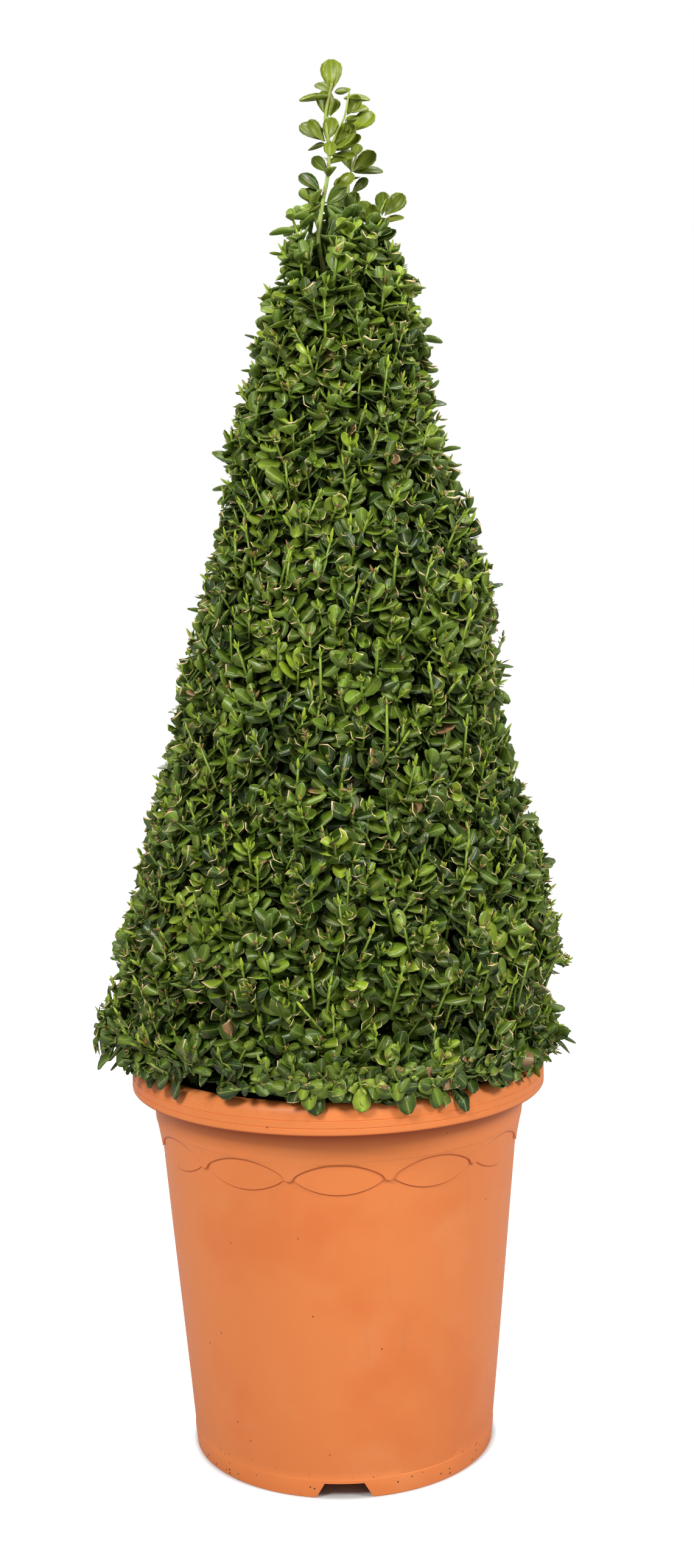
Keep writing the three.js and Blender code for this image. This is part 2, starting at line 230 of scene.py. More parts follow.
world = bpy.data.worlds.new("white studio")
world.use_nodes = True
bpy.context.scene.world = world
tree = world.node_tree
rays = shader_node(tree, "ShaderNodeLightPath").outputs
mirrored = sum_of(tree, rays["Is Glossy Ray"], SKY_IN_GLOSS, "MULTIPLY")
seen = sum_of(tree, rays["Is Camera Ray"], mirrored)
strength = shader_node(
    tree, "ShaderNodeMapRange", {"Value": seen, "To Min": SKY_LIGHT, "To Max": SKY_SEEN}
)
tree.links.new(strength.outputs["Result"], tree.nodes["Background"].inputs["Strength"])
tree.nodes["Background"].inputs["Color"].default_value = (1, 1, 1, 1)


def soft_lamp(name, place, target, size, power):
    """A square lamp that shines from its place towards a target. Its power is in watts."""
    bpy.ops.object.light_add(type="AREA", location=place)
    lamp = bpy.context.object
    lamp.name = name
    lamp.data.size = size
    lamp.data.energy = power
    away = Vector(target) - Vector(place)
    lamp.rotation_euler = away.to_track_quat("-Z", "Y").to_euler()


MID_PLANT = (0, 0, 0.5)
soft_lamp("lamp above the front left", (-1.1, -1.7, 2.2), MID_PLANT, 0.7, 52)
soft_lamp("lamp above the front right", (1.6, -1.2, 1.9), MID_PLANT, 0.7, 40)
soft_lamp("lamp overhead", (0.3, 0.3, 3.0), MID_PLANT, 1.2, 30)
soft_lamp("lamp behind", (-0.6, 2.3, 1.6), MID_PLANT, 0.9, 34)
bpy.context.scene.view_settings.view_transform = "Standard"
print("lamps:", len(bpy.data.lights))

# %% [markdown]
# ## Effects that several finishes share
#
# Real surfaces are never one colour. Three effects come back on every piece here: broad soft
# blotches, small specks, and long streaks. Each one is built once as a node group with named
# inputs, and every material then uses it with its own numbers.


# %% Blotches, specks and streaks
def effect_group(name, *inputs):
    """A node group with a Place input, number inputs with their defaults, and a Mask output."""
    group = bpy.data.node_groups.new(name, "ShaderNodeTree")
    group.interface.new_socket("Place", in_out="INPUT", socket_type="NodeSocketVector")
    for label, default in inputs:
        socket = group.interface.new_socket(label, in_out="INPUT", socket_type="NodeSocketFloat")
        socket.default_value = default
    group.interface.new_socket("Mask", in_out="OUTPUT", socket_type="NodeSocketFloat")
    entry = group.nodes.new("NodeGroupInput").outputs
    leave = group.nodes.new("NodeGroupOutput").inputs
    return group, entry, leave


def effect(tree, group, place, **values):
    """Places an effect in a material and returns its mask."""
    made = shader_node(tree, "ShaderNodeGroup", node_tree=group)
    tree.links.new(place, made.inputs["Place"])
    for label, value in values.items():
        made.inputs[label].default_value = value
    return made.outputs["Mask"]


blotches, entry, leave = effect_group("blotches", ("Scale", 10.0), ("Low", 0.45), ("High", 0.7))
cloud = noise(blotches, entry["Place"], entry["Scale"], detail=4.0)
blotches.links.new(ramp(blotches, cloud, entry["Low"], entry["High"]), leave["Mask"])

specks, entry, leave = effect_group("specks", ("Scale", 150.0), ("Size", 0.12), ("Rarity", 0.5))
values = {"Vector": entry["Place"], "Scale": entry["Scale"]}
cells = shader_node(specks, "ShaderNodeTexVoronoi", values)
values = {0: cells.outputs["Distance"], 1: entry["Size"]}
near = shader_node(specks, "ShaderNodeMath", values, operation="LESS_THAN")
split = shader_node(specks, "ShaderNodeSeparateColor", {"Color": cells.outputs["Color"]})
values = {0: split.outputs["Red"], 1: entry["Rarity"]}
rare = shader_node(specks, "ShaderNodeMath", values, operation="GREATER_THAN")
specks.links.new(sum_of(specks, near.outputs[0], rare.outputs[0], "MULTIPLY"), leave["Mask"])

inputs = (("Scale", 30.0), ("Stretch", 0.06), ("Low", 0.6), ("High", 0.75))
streaks, entry, leave = effect_group("streaks", *inputs)
squeeze = shader_node(streaks, "ShaderNodeCombineXYZ", {"X": 1.0, "Y": 1.0, "Z": entry["Stretch"]})
values = {0: entry["Place"], 1: squeeze.outputs[0]}
stretched = shader_node(streaks, "ShaderNodeVectorMath", values, operation="MULTIPLY")
lines = noise(streaks, stretched.outputs[0], entry["Scale"], detail=5.0, roughness=0.7)
streaks.links.new(ramp(streaks, lines, entry["Low"], entry["High"]), leave["Mask"])
print("effects:", [group.name for group in bpy.data.node_groups])

# %% [markdown]
# ## The pot
#
# The pot is a thin plastic shell from a mould. Everything on it goes round its axis, so it is
# made as a potter would think of it: one outline, spun once round. A lathe could also be faked
# with a screw modifier, but the spin operator leaves clean rows of vertices at once, and we need
# those rows for the band.

# %% The pot's sizes
pot_low, pot_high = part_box("pot")
POT_HEIGHT = pot_high.z
LIP_RADIUS = (pot_high.x - pot_low.x) / 2
POT_BASE_RADIUS = 123.8 * MM
POT_FLARE = 0.0875
WALL = 2.6 * MM
FOOT_HEIGHT = 15.3 * MM
FOOT_STEP = 0.5 * MM
FOOT_WALL = 4 * MM
FLOOR_RISE = 12.8 * MM
FLOOR = 3 * MM
LIP_HEIGHT = 24 * MM
POT_COLUMNS = 384


def wall_radius(z):
    """Radius of the wall's outside at a height."""
    return POT_BASE_RADIUS + POT_FLARE * z


print("pot, mm:", round(POT_HEIGHT / MM), "high,", round(2 * LIP_RADIUS / MM), "across its lip")

# %% [markdown]
# A band of twelve leaf shapes runs round under the lip, below the edge of a drape that stands a
# little proud. The shapes could be cut in with a Boolean, which would leave ragged faces. Instead
# seven rows of the outline are kept free here, and slid up and down later on as they go round.

# %% The band of leaf shapes
BAND_MIDDLE = POT_HEIGHT - 64.3 * MM
BAND_COUNT = 12
LEAF_SHAPE_HALF = 14 / 360 * TURN
LEAF_SHAPE_RISE = 12.1 * MM
DRAPE_STEP = 2.2 * MM
DRAPE_FLARE = 0.05
PLATE_STEP = 0.9 * MM
POINT_DROP = 2.6 * MM
EDGE = 0.28 * MM
LINE = 1.1 * MM


def drape_radius(z):
    """Radius of the drape over the band, which leans out a little more than the wall."""
    return wall_radius(z) + DRAPE_STEP + DRAPE_FLARE * np.maximum(z - BAND_MIDDLE, 0)


def band_edges(angle):
    """Heights of the leaf shape's lower edge and of the drape's edge, all the way round."""
    pitch = TURN / BAND_COUNT
    off = np.abs((angle + TURN / 4 + pitch / 2) % pitch - pitch / 2)
    share = np.clip(off / LEAF_SHAPE_HALF, 0, 1)
    rise = LEAF_SHAPE_RISE * (1 - share**2) ** 0.85
    near_point = np.clip((off / (pitch / 2) - 0.86) / 0.14, 0, 1)
    dip = POINT_DROP * np.sin(near_point * math.pi / 2) ** 1.5
    drape = BAND_MIDDLE + rise - dip
    lower = np.minimum(BAND_MIDDLE - rise, drape - 0.05 * MM)
    return lower, drape, np.clip((1 - share) * 9, 0, 1)


BAND_ROWS = ("wall_near", "below", "plate_low", "plate_near", "plate_high", "drape_under", "drape_low")


def pot_outline():
    """The pot's outline as (name, radius, height), from under its floor, over its lip, and in."""
    foot = wall_radius(0) + FOOT_STEP
    rows = [
        ("floor", 0, FLOOR_RISE),
        ("floor", foot - FOOT_WALL, FLOOR_RISE),
        ("foot", foot - FOOT_WALL, 0.4 * MM),
        ("foot", foot - FOOT_WALL + 0.4 * MM, 0),
        ("foot", foot - 0.6 * MM, 0),
        ("foot", foot, 0.6 * MM),
        ("foot", wall_radius(14.6 * MM) + FOOT_STEP, 14.6 * MM),
        ("foot", wall_radius(FOOT_HEIGHT) + 0.25 * MM, FOOT_HEIGHT),
        ("wall", wall_radius(15.8 * MM), 15.8 * MM),
    ]
    for z in np.linspace(22, 246, 15) * MM:
        rows.append(("wall", wall_radius(z), z))
    for index, name in enumerate(BAND_ROWS):
        z = (251 + index) * MM
        rows.append((name, wall_radius(z) + index * 0.1 * MM, z))
    rows += [("drape", drape_radius(z * MM), z * MM) for z in (278.0, 278.9)]
    rows += [("seam", drape_radius(z * MM) + 0.22 * MM, z * MM) for z in (279.3, 280.2)]
    rows += [("drape", drape_radius(z * MM), z * MM) for z in (286, 295, 303)]
    lip = [
        (154.6, 310), (154.8, 317.6), (156.4, 320.2), (165.4, 320.2), (167.2, 318.4), (167.4, 305.5),
        (167.9, 305), (169.3, 305), (169.8, 305.6), (170, 308), (169.9, 310.2), (169.5, 310.5),
        (169.5, 310.9), (169.85, 311.2), (169.8, 316), (169.35, 316.3), (169.35, 316.7), (169.6, 317),
        (169.1, 320.6), (168, 323.8), (166.2, 326.4), (163.8, 328.2), (161, 329), (158.2, 328.5),
        (155.8, 327), (153.9, 324.4), (152.4, 320.5),
    ]
    rows += [("lip", radius * MM, z * MM) for radius, z in lip]
    for z in np.array([312, 250, 130, 24]) * MM:
        rows.append(("inside", wall_radius(z) - WALL, z))
    inner = wall_radius(FLOOR_RISE + FLOOR) - WALL
    rows += [
        ("inside", inner, FLOOR_RISE + FLOOR + 3 * MM),
        ("inside", inner - 3 * MM, FLOOR_RISE + FLOOR),
        ("inside", 0, FLOOR_RISE + FLOOR),
    ]
    return rows


outline = pot_outline()
print("rows in the outline:", len(outline))

# %% [markdown]
# The outline is drawn as a modeller draws it in edit mode: one vertex, extruded again and again,
# and then the Spin operator takes it round. Doubles are merged where it closes and on the axis,
# and the normals are made to face out.


# %% Spin the outline
def spun(name, points, columns):
    """Draws an outline vertex by vertex in edit mode and spins it round the z axis."""
    bpy.ops.object.select_all(action="DESELECT")
    bpy.ops.mesh.primitive_plane_add(size=1)
    made = bpy.context.object
    made.name = name
    bpy.ops.object.mode_set(mode="EDIT")
    bpy.ops.mesh.select_all(action="SELECT")
    bpy.ops.mesh.merge(type="CENTER")
    here = Vector((0, 0, 0))
    for index, (radius, z) in enumerate(points):
        step = Vector((radius, 0, z)) - here
        if index:
            bpy.ops.mesh.extrude_vertices_move(TRANSFORM_OT_translate={"value": step})
        else:
            bpy.ops.transform.translate(value=step)
        here += step
    bpy.ops.mesh.select_all(action="SELECT")
    bpy.ops.mesh.spin(steps=columns, angle=TURN, center=(0, 0, 0), axis=(0, 0, 1))
    bpy.ops.mesh.select_all(action="SELECT")
    bpy.ops.mesh.remove_doubles(threshold=0.005 * MM)
    bpy.ops.mesh.normals_make_consistent(inside=False)
    bpy.ops.object.mode_set(mode="OBJECT")
    return made


def vertex_places(obj):
    """The object's vertices as rows of x, y, z."""
    places = np.zeros(len(obj.data.vertices) * 3)
    obj.data.vertices.foreach_get("co", places)
    return places.reshape(-1, 3)


def set_vertex_places(obj, places):
    """Moves the object's vertices to rows of x, y, z."""
    obj.data.vertices.foreach_set("co", places.ravel())
    obj.data.update()


pot = spun("nursery_pot", [row[1:] for row in outline], POT_COLUMNS)
print("pot faces:", len(pot.data.polygons))

# %% [markdown]
# Now each vertex of the seven rows slides to its height in the leaf shapes, and out or in with
# the drape. A very slight wobble keeps the wall from looking machined, and an attribute remembers
# the two corners of the band, which the finish darkens for dirt and for painted shade.

# %% Slide the rows into leaf shapes
WOBBLE = 0.25 * MM
places = vertex_places(pot)
radius = np.hypot(places[:, 0], places[:, 1])
angle = np.arctan2(places[:, 1], places[:, 0])
drawn = np.array([row[1:] for row in outline])
off_row = (radius[:, None] - drawn[None, :, 0]) ** 2 + (places[:, 2, None] - drawn[None, :, 1]) ** 2
row_of = np.argmin(off_row, axis=1)
row_name = np.array([row[0] for row in outline])[row_of]
lower, drape, plate = band_edges(angle)
plate_step = PLATE_STEP * plate
rows_moved = {
    "wall_near": (lower - EDGE - LINE, 0),
    "below": (lower - EDGE, 0),
    "plate_low": (lower + EDGE * plate * 0.3, plate_step),
    "plate_near": (np.maximum(drape - EDGE - LINE, lower + EDGE * plate * 0.4), plate_step),
    "plate_high": (drape - EDGE, plate_step),
    "drape_under": (drape + EDGE * 0.3, DRAPE_STEP * 0.72),
    "drape_low": (drape + EDGE * 2.2, DRAPE_STEP),
}
height = places[:, 2].copy()
for name, (row_height, proud) in rows_moved.items():
    picked = row_name == name
    height[picked] = row_height[picked]
    radius[picked] = (wall_radius(row_height) + proud)[picked]
wobble = WOBBLE * np.sin(3 * angle + 1.3 + 9 * height) * np.sin(height * 16)
soft_rows = np.isin(row_name, ["wall", "drape", "inside", *rows_moved])
radius = radius + np.where(soft_rows, wobble, 0)
places = np.stack([radius * np.cos(angle), radius * np.sin(angle), height], axis=1)
set_vertex_places(pot, places)

# The band's two corners get a mask, which the finish darkens for dirt and for painted shade in the
# steps.
corner_dirt_and_shade = pot.data.attributes.new("corner_dirt_and_shade", "FLOAT", "POINT")
in_corner = np.isin(row_name, ["below", "plate_high"]).astype(float)
in_corner[row_name == "below"] *= 0.35 + 0.65 * plate[row_name == "below"]
corner_dirt_and_shade.data.foreach_set("value", in_corner)
print("vertices moved into the band:", int(np.isin(row_name, list(rows_moved)).sum()))

# %% [markdown]
# Water leaves the pot through drain holes in its floor and out under its foot through four
# notches. They could be built into the outline only if they went all the way round, so both are
# cut with simple solids and the Boolean modifier, which is then applied. A notch is a box with
# its top edges drawn together.

# %% Cut the notches and the drain holes
NOTCH_COUNT = 4
NOTCH_HEIGHT = 12.5 * MM
NOTCH_HALF_FOOT = 23.7 * MM
NOTCH_HALF_TOP = 15.6 * MM
NOTCH_REACH = 16 * MM
NOTCH_BELOW = 2 * MM
DRAIN_COUNT = 8
DRAIN_RADIUS = 7 * MM
DRAIN_CIRCLE = 92 * MM


def join(objects):
    """Makes one object of several, under the first one's name."""
    bpy.ops.object.select_all(action="DESELECT")
    for obj in objects:
        obj.select_set(True)
    bpy.context.view_layer.objects.active = objects[0]
    bpy.ops.object.join()
    return objects[0]


def settle(obj):
    """Moves an object's place, turn and size into its mesh."""
    bpy.ops.object.select_all(action="DESELECT")
    obj.select_set(True)
    bpy.context.view_layer.objects.active = obj
    bpy.ops.object.transform_apply(location=True, rotation=True, scale=True)


cutters = []
for index in range(NOTCH_COUNT):
    turn = index / NOTCH_COUNT * TURN - TURN / 4
    middle = Vector((math.cos(turn), math.sin(turn), 0)) * wall_radius(0)
    bpy.ops.mesh.primitive_cube_add(size=1, location=middle, rotation=(0, 0, turn))
    notch = bpy.context.object
    notch.scale = (NOTCH_REACH, 2 * NOTCH_HALF_FOOT, NOTCH_HEIGHT + NOTCH_BELOW)
    notch.location.z = (NOTCH_HEIGHT - NOTCH_BELOW) / 2
    bpy.ops.object.mode_set(mode="EDIT")
    bpy.ops.mesh.select_all(action="DESELECT")
    bpy.ops.object.mode_set(mode="OBJECT")
    for vertex in notch.data.vertices:
        vertex.select = vertex.co.z > 0
    bpy.ops.object.mode_set(mode="EDIT")
    narrower = (1, NOTCH_HALF_TOP / NOTCH_HALF_FOOT, 1)
    bpy.ops.transform.resize(value=narrower, orient_type="LOCAL")
    bpy.ops.object.mode_set(mode="OBJECT")
    settle(notch)
    cutters.append(notch)
for index in range(DRAIN_COUNT):
    turn = (index + 0.5) / DRAIN_COUNT * TURN
    hole = (DRAIN_CIRCLE * math.cos(turn), DRAIN_CIRCLE * math.sin(turn), FLOOR_RISE + FLOOR / 2)
    bpy.ops.mesh.primitive_cylinder_add(
        radius=DRAIN_RADIUS, depth=3 * FLOOR, vertices=32, location=hole
    )
    settle(bpy.context.object)
    cutters.append(bpy.context.object)
cutter = join(cutters)


def apply_modifier(obj, kind, **settings):
    """Adds a modifier, sets it and applies it."""
    bpy.ops.object.select_all(action="DESELECT")
    obj.select_set(True)
    bpy.context.view_layer.objects.active = obj
    made = obj.modifiers.new(kind.lower(), kind)
    for key, value in settings.items():
        setattr(made, key, value)
    bpy.ops.object.modifier_apply(modifier=made.name)


apply_modifier(pot, "BOOLEAN", object=cutter, operation="DIFFERENCE", solver="EXACT")
bpy.data.objects.remove(cutter)
bpy.ops.object.select_all(action="DESELECT")
pot.select_set(True)
bpy.context.view_layer.objects.active = pot
bpy.ops.object.shade_smooth_by_angle(angle=math.radians(32))
print("pot faces after cutting:", len(pot.data.polygons))

# %% [markdown]
# The plastic is a warm terracotta orange, dyed right through. It has lived outdoors: faint
# redder smears, grey scuffs that run up and down, fine scratches, specks of soil, and dirt in the
# corners of the band, where painted shade darkens them as well. A band right under the lip is
# darkened with painted shade from its overhang. Dirt and shade could be painted on an image, but
# masks need no image, stay sharp at any size, and follow the corners' attribute and the height.

# %% Terracotta plastic
ORANGE = (0.77, 0.225, 0.062)
ORANGE_RED = (0.70, 0.155, 0.035)
ORANGE_PALE = (0.80, 0.30, 0.115)
# The colour of dirt and painted shade in the band's corners.
CORNER_DIRT_AND_SHADE = (0.42, 0.072, 0.018)
# The colour of the painted shade under the lip.
UNDER_LIP_SHADE = (0.3, 0.045, 0.008)
SOIL = (0.035, 0.021, 0.012)
UNDER_LIP_SHADE_REACH = 17 * MM

terracotta, tree, surface, place = new_material("terracotta plastic")
smears = effect(tree, blotches, place, Scale=9.0, Low=0.48, High=0.72)
chalk = effect(tree, blotches, place, Scale=23.0, Low=0.5, High=0.8)
scuffs = effect(tree, streaks, place, Scale=42.0, Stretch=0.1, Low=0.6, High=0.78)
scratches = effect(tree, streaks, place, Scale=230.0, Stretch=0.035, Low=0.7, High=0.76)
crumbs = effect(tree, specks, place, Scale=95.0, Size=0.08, Rarity=0.9)
corner = shader_node(tree, "ShaderNodeAttribute", attribute_name="corner_dirt_and_shade").outputs["Fac"]
height = shader_node(tree, "ShaderNodeSeparateXYZ", {"Vector": place}).outputs["Z"]
near_lip = ramp(tree, height, POT_HEIGHT - 16 * MM, POT_HEIGHT + 3 * MM)
near_foot = ramp(tree, height, 30 * MM, 2 * MM)
lip_foot = POT_HEIGHT - LIP_HEIGHT
# A band under the lip's overhang, darkened below as painted shade.
under_lip_shade = sum_of(
    tree,
    ramp(tree, height, lip_foot - UNDER_LIP_SHADE_REACH, lip_foot),
    ramp(tree, height, lip_foot + 2 * MM, lip_foot),
    "MULTIPLY",
)
dust = effect(tree, blotches, place, Scale=60.0, Low=0.5, High=0.72)
dust = sum_of(tree, dust, near_lip, "MULTIPLY")
splashes = effect(tree, specks, place, Scale=260.0, Size=0.22, Rarity=0.8)
splashes = sum_of(tree, splashes, near_foot, "MULTIPLY")
colour = tinge(tree, ORANGE, smears, 0.5, ORANGE_RED)
colour = tinge(tree, colour, chalk, 0.35, ORANGE_PALE)
colour = tinge(tree, colour, scuffs, 0.16, (0.33, 0.17, 0.1))
colour = tinge(tree, colour, scratches, 0.3, (0.45, 0.1, 0.03))
# Painted shade under the lip.
colour = tinge(tree, colour, under_lip_shade, 0.95, UNDER_LIP_SHADE)
# Dirt and painted shade in the band's corners.
colour = tinge(tree, colour, corner, 0.8, CORNER_DIRT_AND_SHADE)
colour = tinge(tree, colour, dust, 0.35, SOIL)
colour = blend(tree, sum_of(tree, sum_of(tree, crumbs, 0.6, "MULTIPLY"), splashes), colour, SOIL)
grain = noise(tree, place, 900.0, detail=2.0)
wire_finish(tree, surface, colour, chalk, 0.42, 0.6, (grain, 0.12, 0.1 * MM))
surface.inputs["Specular IOR Level"].default_value = 0.22
paint(pot, terracotta)
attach(pot, "root")
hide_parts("pot")
print("finish on the pot:", terracotta.name)

# %% [markdown]
# ## The clipped cone
#
# The shears gave the plant its shape: a slim cone with a swollen side, a rounded top and a
# slight lean. Twigs grow out through it at every point and end at its surface. It could be
# modelled as a body for leaves to be scattered on, but nothing of such a body would ever show.
# So the cone is only a rule, which says how far out a leaf may reach.

# %% The shape that the shears left
LEAN = 0.022
SKIRT_GAP = 6.5 * MM
CONE_HEIGHT = 664 * MM
CONE_BASE_RADIUS = 190 * MM
CONE_TOP_RADIUS = 49 * MM
CONE_BELLY = 4 * MM
DOME_DEPTH = 74 * MM
DOME_RISE = 10 * MM
CONE_TOP = SKIRT_GAP + CONE_HEIGHT

# How unevenly it was clipped: height over the lip, how much wider, how far to the right, in mm.
UNEVEN = np.array([
    (15, 9, -9), (60, -9, -7), (90, 10, 2), (120, 5, 2), (170, 4, 2), (240, -3, -2),
    (320, 0, 4), (385, 2, 9), (430, -2, 7), (500, -4, -4), (600, -6, 2), (680, -5, -3),
]) * MM
RIPPLE = 1.4 * MM
HEM_HEIGHT = 26 * MM
HEM_TUCK = 10 * MM


def trim_radius(z, angle):
    """Radius of the clipped surface at a height over the pot's lip, in the leaning frame."""
    share = np.clip((z - SKIRT_GAP) / CONE_HEIGHT, 0, 1)
    side = CONE_BASE_RADIUS + (CONE_TOP_RADIUS - CONE_BASE_RADIUS) * share
    side = side + CONE_BELLY * np.sin(math.pi * share)
    side = side + np.interp(z, UNEVEN[:, 0], UNEVEN[:, 1])
    side = side + np.interp(z, UNEVEN[:, 0], UNEVEN[:, 2]) * np.cos(angle)
    ripple = np.sin(3 * angle + 11 * z) + np.sin(5 * angle - 23 * z) + np.sin(8 * angle + 41 * z)
    side = side + RIPPLE * ripple
    into_dome = np.clip((z - CONE_TOP + DOME_DEPTH) / (DOME_DEPTH + DOME_RISE), 0, 1)
    into_hem = np.clip((SKIRT_GAP + HEM_HEIGHT - z) / HEM_HEIGHT, 0, 1)
    return side * np.sqrt(1 - into_dome**2.6) - HEM_TUCK * into_hem**2


def leaning(points):
    """From the leaning frame over the pot's lip to the world."""
    x, y, z = np.moveaxis(np.asarray(points, float), -1, 0)
    c, s = math.cos(LEAN), math.sin(LEAN)
    return np.stack([x * c + z * s, y, z * c - x * s + POT_HEIGHT], axis=-1)


print("cone: from", SKIRT_GAP / MM, "to", CONE_TOP / MM, "mm over the lip")

# %% [markdown]
# ## One leaf, by hand
#
# A boxwood leaf is a thick little spoon: broadest past its middle, folded along its midrib,
# with its tip bent back. A flat card with a leaf drawn on it would be lighter, but it has no
# under side and no edge. So it starts as a grid of two by six faces. Each row is drawn together
# to the leaf's width there, the middle column is pressed down, and the whole is doubled, flipped
# and sewn round its edge into a closed body. Two dozen faces are enough, because there will be
# many thousands of leaves.
#
# Shears cut through many leaves. A cut leaf has the same rows, but they stop short, and the last
# one stays wide and runs askew.

# %% A leaf's outline
LEAF_ROWS = 6
LEAF_FOLD = 0.11
LEAF_THICKNESS = 0.035
LEAF_TIP_WIDTH = 0.3
LEAF_LEAST_WIDTH = 0.05
RAGGED = 0.05
UNDER_SHIFT = 2
NEAR_ZERO = 1e-4


def leaf_half_width(share, ratio, spoon):
    """Half the width at a share of the length. A higher spoon moves the broadest part out."""
    off_middle = abs(2 * share**spoon - 1)
    return 0.5 * ratio * (1 - min(off_middle, 1) ** 2.2) ** 0.6


def row_shares(rows, whole):
    """Where along the leaf its rows of vertices lie. They crowd where the outline turns."""
    if rows != LEAF_ROWS:
        return [0.5 - 0.5 * math.cos(math.pi * row / rows) for row in range(rows + 1)]
    return [0, 0.1, 0.3, 0.55, 0.8, 0.94, 1] if whole else [0, 0.2, 0.45, 0.7, 0.86, 0.95, 1]


print("half width in the middle of a leaf:", round(leaf_half_width(0.5, 0.66, 1.3), 3))

# %% [markdown]
# A row is picked by its place, drawn together and moved. It then waits at a height of its own, so
# that no later rule picks it again. The fold and the under side come when all rows are drawn.


# %% Steps in the making of a leaf
def select_vertices(obj, wanted):
    """Selects vertices by a rule on their place, and returns to edit mode."""
    bpy.ops.object.mode_set(mode="EDIT")
    bpy.ops.mesh.select_mode(type="VERT")
    bpy.ops.mesh.select_all(action="DESELECT")
    bpy.ops.object.mode_set(mode="OBJECT")
    for vertex in obj.data.vertices:
        vertex.select = wanted(vertex.co)
    bpy.ops.object.mode_set(mode="EDIT")


def skew_row(leaf, y, cut, ragged, wide):
    """Runs a waiting row of a cut leaf askew, with its midrib standing out or in a little."""
    bpy.ops.object.mode_set(mode="OBJECT")
    for vertex in leaf.data.vertices:
        if vertex.co.z > 2 and abs(vertex.co.y - y) < NEAR_ZERO:
            middle = ragged if abs(vertex.co.x) < NEAR_ZERO else 0
            vertex.co.y += cut * vertex.co.x / wide + middle
    bpy.ops.object.mode_set(mode="EDIT")


def fold_blade(leaf, half_width, fold):
    """Presses the blade down along its midrib, most at half its length."""
    for vertex in leaf.data.vertices:
        share = min(max(vertex.co.y, 0), 1)
        sunk = 1 - min(abs(vertex.co.x) / max(half_width(share), 0.03), 1)
        vertex.co.z -= fold * sunk * max(math.sin(math.pi * share), 0) ** 0.7


def give_under_side(leaf, half_width):
    """Doubles and flips the blade, sinks all of the copy but its rim, and sews it on."""
    bpy.ops.object.mode_set(mode="EDIT")
    bpy.ops.mesh.select_all(action="SELECT")
    bpy.ops.mesh.duplicate()
    bpy.ops.mesh.flip_normals()
    bpy.ops.object.mode_set(mode="OBJECT")
    last_row = max(vertex.co.y for vertex in leaf.data.vertices if abs(vertex.co.x) < NEAR_ZERO)
    uv = leaf.data.uv_layers[0].data
    for polygon in leaf.data.polygons:
        if polygon.select:
            for loop in polygon.loop_indices:
                uv[loop].uv[0] += UNDER_SHIFT
    for vertex in leaf.data.vertices:
        if vertex.select:
            share = min(max(vertex.co.y, 0), 1)
            inside = abs(vertex.co.x) < 0.6 * half_width(share)
            at_end = vertex.co.y < 0.01 or vertex.co.y > last_row - 0.002
            if inside and not at_end:
                vertex.co.z -= LEAF_THICKNESS
    bpy.ops.object.mode_set(mode="EDIT")
    bpy.ops.mesh.select_all(action="SELECT")
    bpy.ops.mesh.remove_doubles(threshold=0.002)
    bpy.ops.object.mode_set(mode="OBJECT")


print("steps:", [step.__name__ for step in (skew_row, fold_blade, give_under_side)])

# %% [markdown]
# Three whole leaves and four cut ones are enough for the cone, where they are small and many. The
# shoots stand alone against the sky, so their leaves get four columns and eight rows of faces.


# %% Model the leaves
def leaf_shape(
    name, ratio=0.56, kept=1.0, askew=0.0, droop=0.16, fold=LEAF_FOLD, columns=2, rows=LEAF_ROWS,
    spoon=1.3,
):
    """A closed leaf of length 1 along +Y with its upper side up. kept is the share left of it."""

    def half_width(share):
        return leaf_half_width(share, ratio, spoon)

    bpy.ops.object.select_all(action="DESELECT")
    bpy.ops.mesh.primitive_grid_add(x_subdivisions=columns, y_subdivisions=rows, size=1)
    leaf = bpy.context.object
    leaf.name = name
    for row, full_share in enumerate(row_shares(rows, kept == 1)):
        y = row / rows - 0.5
        share = full_share * kept
        select_vertices(leaf, lambda co: abs(co.y - y) < 0.3 / rows and abs(co.z) < NEAR_ZERO)
        least = LEAF_TIP_WIDTH * ratio * LEAF_ROWS / rows if row == rows else LEAF_LEAST_WIDTH
        wide = max(2 * half_width(share), least)
        bpy.ops.transform.resize(value=(wide, 1, 1), center_override=(0, 0, 0))
        bpy.ops.transform.translate(value=(0, share - y, 3 - droop * share**2))
        if kept < 1 and full_share:
            late = full_share**6
            skew_row(leaf, share, askew * late, RAGGED * math.copysign(1, -askew) * late, wide)
    bpy.ops.mesh.select_all(action="SELECT")
    bpy.ops.transform.translate(value=(0, 0, -3))
    bpy.ops.object.mode_set(mode="OBJECT")
    fold_blade(leaf, half_width, fold)
    give_under_side(leaf, half_width)
    return leaf


WHOLE = [
    leaf_shape("leaf broad", ratio=0.72, droop=0.12),
    leaf_shape("leaf slender", ratio=0.6, droop=0.22),
    leaf_shape("leaf curled", ratio=0.66, droop=0.34),
]
CUT = [
    leaf_shape("leaf cut high", kept=0.86, askew=0.2, ratio=0.6),
    leaf_shape("leaf cut left", kept=0.7, askew=-0.26, ratio=0.6),
    leaf_shape("leaf cut right", kept=0.58, askew=0.24, ratio=0.56),
    leaf_shape("leaf cut low", kept=0.42, askew=-0.16, ratio=0.56),
]
CUT_KEPT = np.array([0.86, 0.7, 0.58, 0.42])
FINE = [
    leaf_shape("fine leaf broad", 0.72, droop=0.22, fold=0.17, columns=4, rows=8, spoon=1.8),
    leaf_shape("fine leaf arched", 0.6, droop=0.52, fold=0.22, columns=4, rows=8, spoon=1.7),
    leaf_shape("fine leaf cupped", 0.66, droop=0.12, fold=0.24, columns=4, rows=8, spoon=1.8),
]
print("faces on a leaf:", len(WHOLE[0].data.polygons), "and cut:", len(CUT[0].data.polygons))

# %% [markdown]
# A twig is a five-sided rod with a slight belly at its foot. A bud is a spindle, made from a
# small sphere drawn out to a point. Both are modelled once, at length 1 along +Y like the leaf,
# so that the same planting rule can set all of them.

